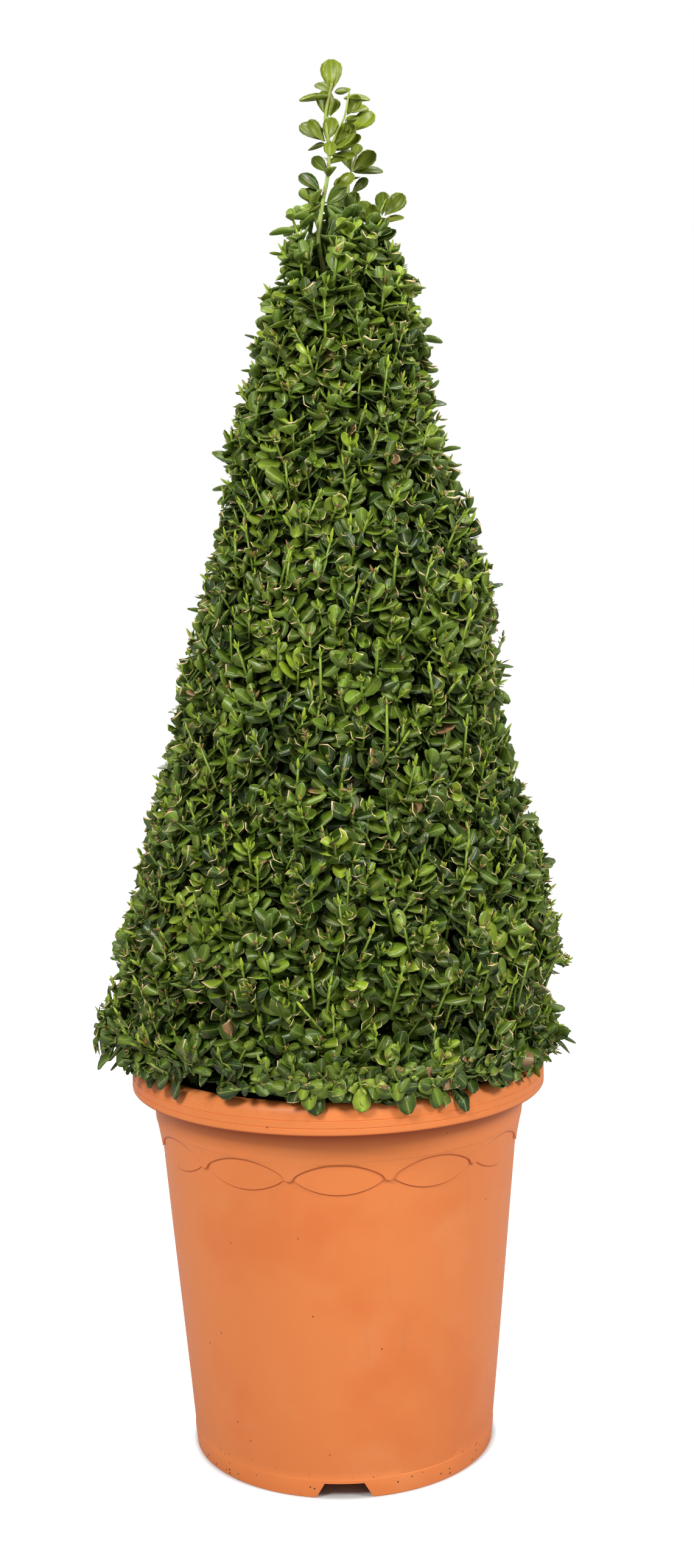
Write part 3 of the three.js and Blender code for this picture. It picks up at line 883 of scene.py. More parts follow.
# %% Model the twig and the bud
bpy.ops.object.select_all(action="DESELECT")
bpy.ops.mesh.primitive_cylinder_add(vertices=5, radius=1, depth=1, location=(0, 0, 0.5))
twig = bpy.context.object
twig.name = "twig"
settle(twig)
bpy.ops.object.mode_set(mode="EDIT")
bpy.ops.mesh.select_all(action="SELECT")
bpy.ops.mesh.bisect(plane_co=(0, 0, 0.5), plane_no=(0, 0, 1))
bpy.ops.object.mode_set(mode="OBJECT")
select_vertices(twig, lambda co: co.z > 0.75)
bpy.ops.transform.resize(value=(0.72, 0.72, 1), center_override=(0, 0, 1))
select_vertices(twig, lambda co: 0.25 < co.z < 0.75)
bpy.ops.transform.resize(value=(0.8, 0.8, 1), center_override=(0, 0, 0.5))
bpy.ops.transform.translate(value=(0, 0.03, 0))
bpy.ops.object.mode_set(mode="OBJECT")
twig.rotation_euler = (-TURN / 4, 0, 0)
settle(twig)

bpy.ops.mesh.primitive_uv_sphere_add(segments=5, ring_count=4, radius=0.5, location=(0, 0, 0.5))
bud = bpy.context.object
bud.name = "bud"
settle(bud)
select_vertices(bud, lambda co: 0.05 < co.z < 0.95)
bpy.ops.transform.resize(value=(0.42, 0.42, 1), center_override=(0, 0, 0))
bpy.ops.object.mode_set(mode="OBJECT")
select_vertices(bud, lambda co: 0.7 < co.z < 0.95)
bpy.ops.transform.resize(value=(0.66, 0.66, 1), center_override=(0, 0, 0))
bpy.ops.object.mode_set(mode="OBJECT")
bud.rotation_euler = (-TURN / 4, 0, 0)
settle(bud)
print("faces on a twig:", len(twig.data.polygons), "and on a bud:", len(bud.data.polygons))

# %% [markdown]
# ## Planting thousands of them
#
# Linked copies or an instancing modifier would be the quick way to plant leaves, but here every
# spray is one mesh of its own, and every leaf has its own tint and its own cut. So the
# vertices of the modelled leaf are copied with arrays: a leaf is set by its foot, the way it
# points, the way its upper side faces, and its length. The four numbers that tint it go into a
# colour attribute: how light it is, how young, how dry, and whether it was cut.


# %% Copies of a shape
class Shape:
    """The vertices, faces and UVs of a modelled object, ready for copying."""

    def __init__(self, obj, finish):
        mesh = obj.data
        self.verts = vertex_places(obj)
        self.counts = np.array([len(face.vertices) for face in mesh.polygons])
        self.loops = np.array([v for face in mesh.polygons for v in face.vertices])
        self.finish = finish
        uv = np.zeros(len(mesh.loops) * 2)
        mesh.uv_layers[0].data.foreach_get("uv", uv)
        self.uv = uv.reshape(-1, 2)
        bpy.data.objects.remove(obj)


LEAF_FINISH, TWIG_FINISH = 0, 1
whole_shapes = [Shape(obj, LEAF_FINISH) for obj in WHOLE]
cut_shapes = [Shape(obj, LEAF_FINISH) for obj in CUT]
twig_shape = Shape(twig, TWIG_FINISH)
bud_shape = Shape(bud, TWIG_FINISH)
fine_shapes = [Shape(obj, LEAF_FINISH) for obj in FINE]
SHAPES = [*whole_shapes, *cut_shapes, twig_shape, bud_shape, *fine_shapes]
TWIG = SHAPES.index(twig_shape)
BUD = SHAPES.index(bud_shape)
FIRST_FINE = SHAPES.index(fine_shapes[0])
print("shapes to copy:", len(SHAPES))

# %% [markdown]
# A planting is the list of what grows where. It is filled by the steps that follow, one batch at a
# time, and only at the end is it shared out among the pieces and turned into meshes.


# %% A planting
def unit(vectors):
    """The vectors, each made 1 long."""
    return vectors / np.maximum(np.linalg.norm(vectors, axis=-1, keepdims=True), 1e-9)


class Planting:
    """A growing list of copies: which shape, its foot, its ways, its sizes and its tint."""

    def __init__(self):
        self.rows = []

    def add(self, shape, foot, along, up, length, width, tint):
        """One row for each copy. All the places are in the leaning frame."""
        count = len(foot)
        along = unit(along)
        across = unit(np.cross(along, up))
        up = np.cross(across, along)
        wide = [np.broadcast_to(np.asarray(v, float), count) for v in (shape, length, width)]
        parts = [wide[0][:, None], foot, along, up, wide[1][:, None], wide[2][:, None], tint]
        self.rows.append(np.concatenate(parts, axis=1))

    def all_rows(self):
        return np.concatenate(self.rows)


def tints(count, light, young=0, dry=0, cut=0):
    """Rows of the four numbers that tint a copy, each from 0 to 1."""
    columns = [np.broadcast_to(np.asarray(v, float), count) for v in (light, young, dry, cut)]
    return np.clip(np.stack(columns, axis=1), 0, 1)


print("numbers in a row of a planting:", 12 + tints(1, 0).shape[1])

# %% [markdown]
# One piece is one mesh of all its copies. They could be joined as objects, but that takes minutes
# for thousands, and arrays take a second. Besides the leaf's own UV map there is a second one, in
# which every copy has a cell of its own, with its upper side on the left and its under side on
# the right.

# %% One mesh of many copies
CELL_EDGE = 0.06


def placed(shape, own, is_round):
    """The vertices of all the copies of one shape."""
    foot, along, up = own[:, 1:4], own[:, 4:7], own[:, 7:10]
    across = np.cross(along, up)
    x, y, z = (shape.verts[:, axis] for axis in range(3))
    length, width = own[:, 10, None], own[:, 11, None]
    return (
        foot[:, None]
        + across[:, None] * (x * width)[..., None]
        + along[:, None] * (y * length)[..., None]
        + up[:, None] * (z * (width if is_round else length))[..., None]
    )


def bake_cells(shape, first, copies, cells):
    """The second UV map: one cell of a square for each copy."""
    cell = first + np.arange(copies)
    corner = np.stack([cell % cells, cell // cells], axis=1)[:, None]
    flat = shape.uv.copy()
    beneath = flat[:, 0] > UNDER_SHIFT - 0.5
    flat[:, 0] = np.where(beneath, 0.5 + (flat[:, 0] - UNDER_SHIFT) / 2, flat[:, 0] / 2)
    return ((corner + CELL_EDGE + (1 - 2 * CELL_EDGE) * flat[None]) / cells).reshape(-1, 2)


def build_piece(name, rows, materials, settle_down=None):
    """Makes one mesh of all the copies in rows."""
    verts, loops, counts, uvs, bake, tint_rows, finishes = [], [], [], [], [], [], []
    cells = math.ceil(math.sqrt(len(rows)))
    start = 0
    first = 0
    for index, shape in enumerate(SHAPES):
        own = rows[rows[:, 0] == index]
        if not len(own):
            continue
        copies = len(own)
        verts.append(placed(shape, own, index in (TWIG, BUD)).reshape(-1, 3))
        steps = start + np.arange(copies)[:, None] * len(shape.verts)
        loops.append((shape.loops[None] + steps).ravel())
        counts.append(np.tile(shape.counts, copies))
        finishes.append(np.full(len(shape.counts) * copies, shape.finish))
        uvs.append(np.tile(shape.uv, (copies, 1)))
        bake.append(bake_cells(shape, first, copies, cells))
        tint_rows.append(np.repeat(own[:, 12:16], len(shape.verts), axis=0))
        start += copies * len(shape.verts)
        first += copies
    verts = leaning(np.concatenate(verts))
    if settle_down:
        verts = settle_down(verts)
    loops, counts = np.concatenate(loops), np.concatenate(counts)
    mesh = bpy.data.meshes.new(name)
    mesh.vertices.add(len(verts))
    mesh.loops.add(len(loops))
    mesh.polygons.add(len(counts))
    mesh.vertices.foreach_set("co", verts.ravel())
    mesh.loops.foreach_set("vertex_index", loops)
    mesh.polygons.foreach_set("loop_start", np.concatenate([[0], np.cumsum(counts)[:-1]]))
    mesh.polygons.foreach_set("material_index", np.concatenate(finishes).astype(np.int32))
    mesh.polygons.foreach_set("use_smooth", np.ones(len(counts), bool))
    mesh.uv_layers.new(name="blade").data.foreach_set("uv", np.concatenate(uvs).ravel())
    mesh.uv_layers.new(name="OFBake").data.foreach_set("uv", np.concatenate(bake).ravel())
    tint = mesh.attributes.new("tint", "FLOAT_COLOR", "POINT")
    tint.data.foreach_set("color", np.concatenate(tint_rows).ravel())
    mesh.update(calc_edges=True)
    mesh.validate()
    made = bpy.data.objects.new(name, mesh)
    bpy.context.scene.collection.objects.link(made)
    paint(made, *materials)
    return made


print("a cell's edge, as a share of the cell:", CELL_EDGE)

# %% [markdown]
# ## Leaf finishes
#
# A boxwood leaf is leathery: dark and glossy above with a pale midrib, dull and paler below, and
# edged with straw where the shears went through. Young leaves are yellow green and dead ones tan.
# An image for each kind would be the usual way. Here one net of nodes serves them all: the leaf's
# own UV map runs across it and along it, so the midrib and the cut edge are drawn on that, its
# under side is the same map moved by two, and the "tint" attribute says what each leaf is.

# %% Leaf green
LEAF_DRY = (0.3, 0.17, 0.065)
STRAW = (0.74, 0.53, 0.28)
LEAF_DUST = (0.45, 0.45, 0.35)
CUT_EDGE_FROM = 0.81
CUT_EDGE_FULL = 0.84


def leaf_finish(name, dark, mid, young_green, under, rib_green, gloss, dusty):
    """A leaf's material. The tint says how light, young, dry and cut each leaf is."""
    made, tree, surface, place = new_material(name)
    tint = shader_node(tree, "ShaderNodeAttribute", attribute_name="tint")
    parts = shader_node(tree, "ShaderNodeSeparateColor", {"Color": tint.outputs["Color"]}).outputs
    light, young, dry, was_cut = parts["Red"], parts["Green"], parts["Blue"], tint.outputs["Alpha"]
    blade = shader_node(tree, "ShaderNodeUVMap", uv_map="blade").outputs["UV"]
    split = shader_node(tree, "ShaderNodeSeparateXYZ", {"Vector": blade}).outputs
    beneath = ramp(tree, split["X"], 1.4, 1.6)
    across = shader_node(tree, "ShaderNodeMath", {0: split["X"], 1: 2.0}, operation="FLOORED_MODULO")
    across = shader_node(tree, "ShaderNodeMath", {0: across.outputs[0], 1: 0.5}, operation="SUBTRACT")
    across = shader_node(tree, "ShaderNodeMath", {0: across.outputs[0]}, operation="ABSOLUTE")
    off_rib = across.outputs[0]
    rib = ramp(tree, off_rib, 0.06, 0.015)
    rim = ramp(tree, off_rib, 0.43, 0.5)
    cloud = effect(tree, blotches, place, Scale=140.0, Low=0.35, High=0.7)
    colour = blend(tree, light, dark, mid)
    colour = blend(tree, young, colour, young_green)
    colour = tinge(tree, colour, cloud, 0.3, dark)
    colour = tinge(tree, colour, beneath, 0.5, under)
    colour = tinge(tree, colour, rib, 0.35, rib_green)
    colour = tinge(tree, colour, rim, 0.4, rib_green)
    spots = sum_of(tree, ramp(tree, noise(tree, place, 210.0), 0.6, 0.66), dry, "MULTIPLY")
    dried = ramp(tree, dry, 0.7, 0.9)
    colour = blend(tree, sum_of(tree, spots, dried), colour, LEAF_DRY)
    cut_edge = sum_of(tree, ramp(tree, split["Y"], CUT_EDGE_FROM, CUT_EDGE_FULL), was_cut, "MULTIPLY")
    colour = blend(tree, cut_edge, colour, STRAW)
    dust = effect(tree, specks, place, Scale=700.0, Size=0.25, Rarity=0.9)
    colour = tinge(tree, colour, dust, dusty, LEAF_DUST)
    tree.links.new(colour, surface.inputs["Base Color"])
    rough = sum_of(tree, sum_of(tree, cloud, 0.16, "MULTIPLY"), 0.3)
    rough = sum_of(tree, rough, sum_of(tree, beneath, 0.16, "MULTIPLY"))
    tree.links.new(rough, surface.inputs["Roughness"])
    surface.inputs["Specular IOR Level"].default_value = gloss
    veins = noise(tree, place, 420.0, detail=2.0)
    pressed = shader_node(tree, "ShaderNodeMath", {0: veins, 1: rib}, operation="SUBTRACT").outputs[0]
    add_bump(tree, surface, pressed, 0.35, 0.3 * MM)
    return made


leaf_green = leaf_finish(
    "boxwood leaf",
    dark=(0.019, 0.05, 0.003),
    mid=(0.18, 0.29, 0.018),
    young_green=(0.42, 0.56, 0.035),
    under=(0.12, 0.2, 0.03),
    rib_green=(0.45, 0.54, 0.1),
    gloss=0.5,
    dusty=0.3,
)
young_leaf_green = leaf_finish(
    "young boxwood leaf",
    dark=(0.035, 0.072, 0.005),
    mid=(0.23, 0.29, 0.012),
    young_green=(0.34, 0.41, 0.02),
    under=(0.13, 0.18, 0.018),
    rib_green=(0.42, 0.46, 0.1),
    gloss=0.3,
    dusty=0.06,
)
print("leaf finishes:", leaf_green.name, "and", young_leaf_green.name)

# %% [markdown]
# A twig and its bud share one finish. Their tint slides it from old brown wood over green to the
# pale green of a bud, or to straw where the shears went through.

# %% Twig and bud green
TWIG_GREEN = (0.3, 0.4, 0.03)
TWIG_BROWN = (0.13, 0.075, 0.035)
BUD_GREEN = (0.72, 0.78, 0.2)
TWIG_FURROW = (0.1, 0.08, 0.03)

twig_green, tree, surface, place = new_material("boxwood twig")
tint = shader_node(tree, "ShaderNodeAttribute", attribute_name="tint")
parts = shader_node(tree, "ShaderNodeSeparateColor", {"Color": tint.outputs["Color"]}).outputs
bark = effect(tree, streaks, place, Scale=420.0, Stretch=0.25, Low=0.4, High=0.7)
colour = blend(tree, parts["Red"], TWIG_BROWN, TWIG_GREEN)
colour = blend(tree, parts["Green"], colour, BUD_GREEN)
colour = blend(tree, parts["Blue"], colour, STRAW)
colour = tinge(tree, colour, bark, 0.3, TWIG_FURROW)
wire_finish(tree, surface, colour, bark, 0.45, 0.75, (bark, 0.3, 0.2 * MM))
print("finish on twigs and buds:", twig_green.name)

# %% [markdown]
# ## Sprigs all over the cone
#
# A clipped boxwood grows as small sprigs: a green twig with its leaves in pairs, each pair set a
# quarter turn from the last, and buds or a cut end at its tip. The tips are spread over the
# clipped surface by the golden angle, as seeds are in a sunflower, which keeps them evenly apart
# without rows. Particles or scattering nodes would spread them too, but they know nothing of the
# clipped surface, where every leaf that would reach past it has to be cut.

# %% Spread the tips
SPRIG_COUNT = 1560
GOLDEN_ANGLE = TURN * (1 - 1 / ((1 + 5**0.5) / 2))
SEED = 12
LEVEL_STEPS = 4000
random = np.random.default_rng(SEED)


def frame_at(z, angle):
    """A place on the clipped surface, and the way that faces out of it there."""
    radius = trim_radius(z, angle)
    step = 2 * MM
    slope = (trim_radius(z + step, angle) - trim_radius(z - step, angle)) / (2 * step)
    slope = np.clip(slope, -3, 0.3)
    place = np.stack([radius * np.cos(angle), radius * np.sin(angle), z], axis=1)
    out = unit(np.stack([np.cos(angle), np.sin(angle), -slope], axis=1))
    return place, out


levels = np.linspace(SKIRT_GAP + 2 * MM, CONE_TOP + DOME_RISE - 1 * MM, LEVEL_STEPS)
around = trim_radius(levels, 0 * levels)
slant = np.hypot(np.gradient(around), np.gradient(levels))
area = np.cumsum(np.maximum(around, 4 * MM) * slant)
area /= area[-1]
order = (np.arange(SPRIG_COUNT) + 0.5) / SPRIG_COUNT
tip_level = np.interp(order, area, levels) + random.normal(0, 2.5 * MM, SPRIG_COUNT)
tip_angle = np.arange(SPRIG_COUNT) * GOLDEN_ANGLE + random.normal(0, 0.03, SPRIG_COUNT)
tip, out = frame_at(tip_level, tip_angle)
print("sprigs:", SPRIG_COUNT)

# %% [markdown]
# Each sprig climbs out of the surface at its own slope, steeper near the crown and flatter at the
# skirt. Its foot stays inside the cone and over the pot's lip. Some patches are lighter, and a few
# sprigs are young and yellow green, because a shrub doesn't flush evenly.

# %% Give each sprig its ways
CROWN_REACH = 130 * MM
SKIRT_REACH = 34 * MM
LOW_TIPS = 70 * MM
FOOT_INSIDE = 9 * MM
YOUNG_SHARE = 0.07
near_top = np.clip((tip_level - CONE_TOP + CROWN_REACH) / CROWN_REACH, 0, 1)
near_skirt = np.clip((SKIRT_GAP + SKIRT_REACH - tip_level) / SKIRT_REACH, 0, 1)
climb = random.uniform(0.6, 2.4, SPRIG_COUNT) + 0.9 * near_top - 1.6 * near_skirt
sprig_way = unit(out + UP * climb[:, None] + random.normal(0, 0.42, (SPRIG_COUNT, 3)))
sprig_length = random.uniform(27, 38, SPRIG_COUNT) * MM
hollow = np.sin(tip_angle * 11 + tip_level * 70) * np.sin(tip_angle * 9 - tip_level * 95 + 1)
sunk = random.normal(-3.4, 2.8, SPRIG_COUNT) * MM + 2.5 * MM * hollow + 4 * MM * near_top
tip = tip + out * sunk[:, None]
sprig_foot = tip - sprig_way * sprig_length[:, None]
sprig_foot[:, 2] = np.maximum(sprig_foot[:, 2], SKIRT_GAP + 4 * MM)
tip_radius = np.hypot(tip[:, 0], tip[:, 1])
foot_radius = np.hypot(sprig_foot[:, 0], sprig_foot[:, 1])
inward = np.minimum(1, (tip_radius - FOOT_INSIDE) / foot_radius)
sprig_foot[:, :2] *= np.where(tip_level < LOW_TIPS, inward, 1)[:, None]
sprig_way = unit(tip - sprig_foot)
sprig_length = np.linalg.norm(tip - sprig_foot, axis=1)
patch = np.sin(tip_angle * 4 + tip_level * 21) + np.sin(tip_angle * 7 - tip_level * 33 + 2)
sprig_light = np.clip(random.normal(0.37, 0.27, SPRIG_COUNT) + 0.1 * patch - 0.06 * near_top, 0, 1)
sprig_young = np.clip(random.normal(0.02, 0.18, SPRIG_COUNT) + 0.06 * near_top, 0, 0.8)
sprig_young[random.random(SPRIG_COUNT) < YOUNG_SHARE] += 0.55
print("share of sprigs with young leaves:", round(float((sprig_young > 0.4).mean()), 3))

# %% [markdown]
# A leaf leaves its twig at an angle, opens more the older its pair is, and turns its upper side to
# the light. How far its foot and its tip reach past the surface says whether the shears met it,
# and how much of it they left.


# %% Rules for a leaf
def any_side(ways):
    """For each way, a steady unit vector square to it."""
    helper = np.where(np.abs(ways[:, 2:]) > 0.9, [[1.0, 0, 0]], [[0, 0, 1.0]])
    return unit(np.cross(ways, helper))


def reach_past(points):
    """How far points stand out of the clipped surface, in metres."""
    angle = np.arctan2(points[:, 1], points[:, 0])
    level = np.clip(points[:, 2], SKIRT_GAP, CONE_TOP + DOME_RISE - 2 * MM)
    over = np.maximum(points[:, 2] - level, 0)
    radius = np.hypot(points[:, 0], points[:, 1])
    return radius - trim_radius(level, angle) + over


def swung(ways, side, turn, opened):
    """Opens each way by an angle, towards its side turned about it.

    Returns the turned side, the opened way, and the way that an upper face looks there.
    """
    outward = side * np.cos(turn)[:, None] + np.cross(ways, side) * np.sin(turn)[:, None]
    way = ways * np.cos(opened)[:, None] + outward * np.sin(opened)[:, None]
    up_way = ways * np.sin(opened)[:, None] - outward * np.cos(opened)[:, None]
    return outward, way, up_way


UNCUT = 0.93
LEAST_LEFT = 0.3


def grow_leaves(planting, foot, way, up_way, length, light, young, dry, slack):
    """Sets leaves, cutting those that reach past the clipped surface."""
    width = length * random.uniform(0.88, 1.12, len(length))
    past_tip = reach_past(foot + way * length[:, None])
    past_foot = reach_past(foot)
    keep = (slack - past_foot) / np.maximum(past_tip - past_foot, 1e-6)
    inside = (past_tip < slack) | (keep > UNCUT)
    shape = random.integers(0, len(WHOLE), len(length))
    cut_shape = len(WHOLE) + np.argmin(np.abs(keep[:, None] - CUT_KEPT[None]), axis=1)
    shape = np.where(inside, shape, cut_shape)
    grown = inside | (keep > LEAST_LEFT)
    tint = tints(len(length), light, young, dry, np.where(inside, 0, 1))
    planting.add(
        shape[grown], foot[grown], way[grown], up_way[grown], length[grown], width[grown], tint[grown]
    )
    return int(grown.sum()), int((grown & ~inside).sum())


print("a leaf counts as whole from", UNCUT, "of its length")

# %% [markdown]
# Six pairs of leaves go on each sprig. On one that was clipped the first pairs are older ones, so
# they are larger. Near the crown some sprigs are left out, since it's looser there.

# %% Grow the sprigs
PAIR_LENGTH = np.array([8.5, 13, 16, 17.5, 18, 17]) * MM
CLIPPED_LENGTH = np.array([14, 17, 18, 18.5, 18, 17]) * MM
PAIR_SPREAD = np.radians([22, 34, 44, 52, 58, 64])
PAIR_STEP = np.array([0.5, 4.5, 9.5, 15, 21, 27.5]) * MM
TO_LIGHT = 0.4
CLIPPED_SHARE = 0.55
DEAD_SHARE = 0.006
LOST_SHARE = 0.05

sprigs = Planting()
side = any_side(sprig_way)
start_turn = random.uniform(0, TURN, SPRIG_COUNT)
leafy = random.uniform(0.84, 1.16, SPRIG_COUNT)
is_clipped = random.random(SPRIG_COUNT) < CLIPPED_SHARE
stands = random.random(SPRIG_COUNT) > 0.6 * near_top
total = np.zeros(2, int)
for pair in range(len(PAIR_LENGTH)):
    for half in range(2):
        turn = start_turn + pair * TURN / 4 + half * TURN / 2 + random.normal(0, 0.2, SPRIG_COUNT)
        spread = PAIR_SPREAD[pair] + random.normal(0, 0.24, SPRIG_COUNT)
        outward, way, up_way = swung(sprig_way, side, turn, spread)
        way = way - out * TO_LIGHT * np.maximum((way * out).sum(axis=1, keepdims=True), 0)
        up_way = up_way + out * 1.2 + UP * 0.1 + random.normal(0, 0.32, (SPRIG_COUNT, 3))
        full = np.where(is_clipped, CLIPPED_LENGTH[pair], PAIR_LENGTH[pair])
        length = full * (leafy + 0.24 * near_top) * random.uniform(0.8, 1.15, SPRIG_COUNT)
        foot = tip - sprig_way * (PAIR_STEP[pair] + 1.5 * MM) + outward * 0.7 * MM
        light = sprig_light + random.normal(0, 0.17, SPRIG_COUNT) - 0.05 * pair
        young = sprig_young * (1 - 0.12 * pair)
        is_dead = random.random(SPRIG_COUNT) < DEAD_SHARE
        dry = np.where(is_dead, 1.0, random.uniform(0, 0.6, SPRIG_COUNT))
        slack = random.normal(-1.5, 3.4, SPRIG_COUNT) * MM + 12 * MM * near_top
        lives = stands & (random.random(SPRIG_COUNT) > LOST_SHARE)
        args = (foot, way, up_way, length, light, young, dry, slack)
        total += grow_leaves(sprigs, *(arg[lives] for arg in args))
print("leaves on the sprigs:", total[0], "of them cut:", total[1])

# %% [markdown]
# Each sprig now gets its twig. A clipped one ends in a short straw-coloured stub, and the others in
# a bud, with smaller buds beside it on most.

# %% Twigs and buds
thick = random.uniform(1.15, 1.55, SPRIG_COUNT) * MM
twig_tint = tints(SPRIG_COUNT, random.uniform(0.45, 1, SPRIG_COUNT), 0.1, 0.06)
sprigs.add(
    TWIG, sprig_foot[stands], sprig_way[stands], side[stands], sprig_length[stands],
    thick[stands], twig_tint[stands],
)
stub = is_clipped & stands
stub_foot = tip[stub] - sprig_way[stub] * 0.3 * MM
stub_length = random.uniform(1.5, 3.5, stub.sum()) * MM
stub_tint = tints(stub.sum(), 0.5, 0.3, 0.9)
sprigs.add(TWIG, stub_foot, sprig_way[stub], side[stub], stub_length, thick[stub] * 0.85, stub_tint)
for index in range(3):
    picked = stands & (~is_clipped if index == 0 else random.random(SPRIG_COUNT) < 0.8)
    turn = random.uniform(0, TURN, SPRIG_COUNT)
    lean = (0.05 if index == 0 else 0.42) + random.normal(0, 0.06, SPRIG_COUNT)
    _, way, _ = swung(sprig_way, side, turn, lean)
    length = random.uniform(7, 11, SPRIG_COUNT) * MM * (1 if index == 0 else 0.75)
    foot = tip - sprig_way * (0.5 * MM if index == 0 else 2.5 * MM)
    young = random.uniform(0.5, 1, SPRIG_COUNT)
    tint = tints(SPRIG_COUNT, 1, young, random.uniform(0, 0.35, SPRIG_COUNT))
    sprigs.add(
        BUD, foot[picked], way[picked], side[picked], length[picked],
        length[picked] * random.uniform(0.56, 0.7, picked.sum()), tint[picked],
    )
print("cut ends:", int(stub.sum()))

# %% [markdown]
# The shears leave torn scraps of leaf and leaf stalk behind them, which dry to straw. They are
# small buds of every size, set round the tips. The lower left of the plant has most of them.

# %% Dry scraps
SCRAPS = 2
SCRAPS_WHERE_CLIPPED = 4
SCRAPS_WHERE_BROWN = 5
BROWN_HEIGHT = 210 * MM
BROWN_SIDE = -0.45
LONGEST_SCRAP = 8

browned = (np.cos(tip_angle) < BROWN_SIDE) & (tip_level < BROWN_HEIGHT)
scraps = SCRAPS + SCRAPS_WHERE_CLIPPED * is_clipped + SCRAPS_WHERE_BROWN * browned
owner = np.repeat(np.flatnonzero(stands), scraps[stands])
scrap_count = len(owner)
turn = random.uniform(0, TURN, scrap_count)
lean = random.uniform(0.2, 1.2, scrap_count)
outward, way, _ = swung(sprig_way[owner], side[owner], turn, lean)
length = np.minimum(random.gamma(4, 1.0, scrap_count), LONGEST_SCRAP) * MM
back = random.uniform(-2, 6, scrap_count) * MM
foot = tip[owner] - sprig_way[owner] * back[:, None] + outward * MM
width = length * random.uniform(0.35, 0.8, scrap_count)
light = random.uniform(0, 0.5, scrap_count)
tint = tints(scrap_count, light, 0, random.uniform(0.5, 1, scrap_count))
sprigs.add(BUD, foot, way, outward + UP, length, width, tint)
print("dry scraps:", scrap_count)

# %% [markdown]
# Under the sprigs there are older, darker leaves that never see the shears. Their tint is also
# darkened as painted shade, so that the hollows between the sprigs look deep. They close the view
# into the plant, which would otherwise show daylight from the other side. A dark cone inside would
# do the same for less, but it would show as a wall wherever a gap is deep.

# %% Leaves in the shade
SHADE_COUNT = 8000
DEEPEST_SHARE = 0.75
order = (np.arange(SHADE_COUNT) + 0.5) / SHADE_COUNT
level = np.interp(order, area, levels) - 10 * MM
angle = np.arange(SHADE_COUNT) * GOLDEN_ANGLE + 1
place, outward = frame_at(level, angle)
deep = random.uniform(14, 84, SHADE_COUNT) * MM
deep = np.minimum(deep, DEEPEST_SHARE * trim_radius(level, angle))
foot = place - outward * deep[:, None]
foot[:, 2] = np.maximum(foot[:, 2], SKIRT_GAP + 3 * MM)
way = unit(outward * 0.4 + UP * 0.7 + random.normal(0, 0.75, (SHADE_COUNT, 3)))
up_way = unit(outward + UP * 0.3 + random.normal(0, 0.4, (SHADE_COUNT, 3)))
length = random.uniform(14, 19, SHADE_COUNT) * MM + 0.06 * deep
# Low lightness: older leaves, darkened further as painted shade in the hollows.
light = random.uniform(0, 0.2, SHADE_COUNT)
shape = random.integers(0, len(WHOLE), SHADE_COUNT)
dry = np.where(random.random(SHADE_COUNT) < 0.02, 1.0, 0.3)
tint = tints(SHADE_COUNT, light, 0, dry)
sprigs.add(shape, foot, way, up_way, length, length, tint)
print("leaves in the shade:", SHADE_COUNT)

# %% [markdown]
# ## The skirt
#
# The lowest leaves spread over the pot's lip and a few hang down outside it, fewer at the front.
# They could be laid down by a simulation, but a rule is enough: it lifts whatever would sink into
# the lip or the soil, and draws in what strays too far or would shade the lip's front.

# %% Grow the skirt
SKIRT_COUNT = 560
LIP_INNER_RADIUS = 150 * MM
angle = random.uniform(0, TURN, SKIRT_COUNT)
leftward = np.clip(-np.cos(angle) - 0.35, 0, 0.65)
frontward = np.clip(-np.sin(angle) - 0.2, 0, 0.8)
reach = random.uniform(142, 180, SKIRT_COUNT) * MM + 15 * MM * leftward - 20 * MM * frontward
level = random.uniform(9, 26, SKIRT_COUNT) * MM + 7 * MM * frontward - 9 * MM * leftward
place = np.stack([reach * np.cos(angle), reach * np.sin(angle), level], axis=1)
outward = np.stack([np.cos(angle), np.sin(angle), 0 * angle], axis=1)
way = outward + UP * (random.uniform(-0.9, 0.5, SKIRT_COUNT) - 0.8 * leftward)[:, None]
way = unit(way + random.normal(0, 0.5, (SKIRT_COUNT, 3)))
up_way = unit(outward * 0.5 + UP + random.normal(0, 0.3, (SKIRT_COUNT, 3)))
length = random.uniform(14, 21, SKIRT_COUNT) * MM
light = random.uniform(0.1, 0.6, SKIRT_COUNT)
shape = random.integers(0, len(WHOLE), SKIRT_COUNT)
dry = np.where(random.random(SKIRT_COUNT) < 0.025, 1.0, 0.3)
sprigs.add(shape, place, way, up_way, length, length, tints(SKIRT_COUNT, light, 0, dry))
print("leaves in the skirt:", SKIRT_COUNT)

# %% Rest on the lip
REACH_MOST = 196 * MM
FRONT_TUCK = 0.2
TUCK_HEIGHT = 40 * MM
TUCK_FADE = 16 * MM


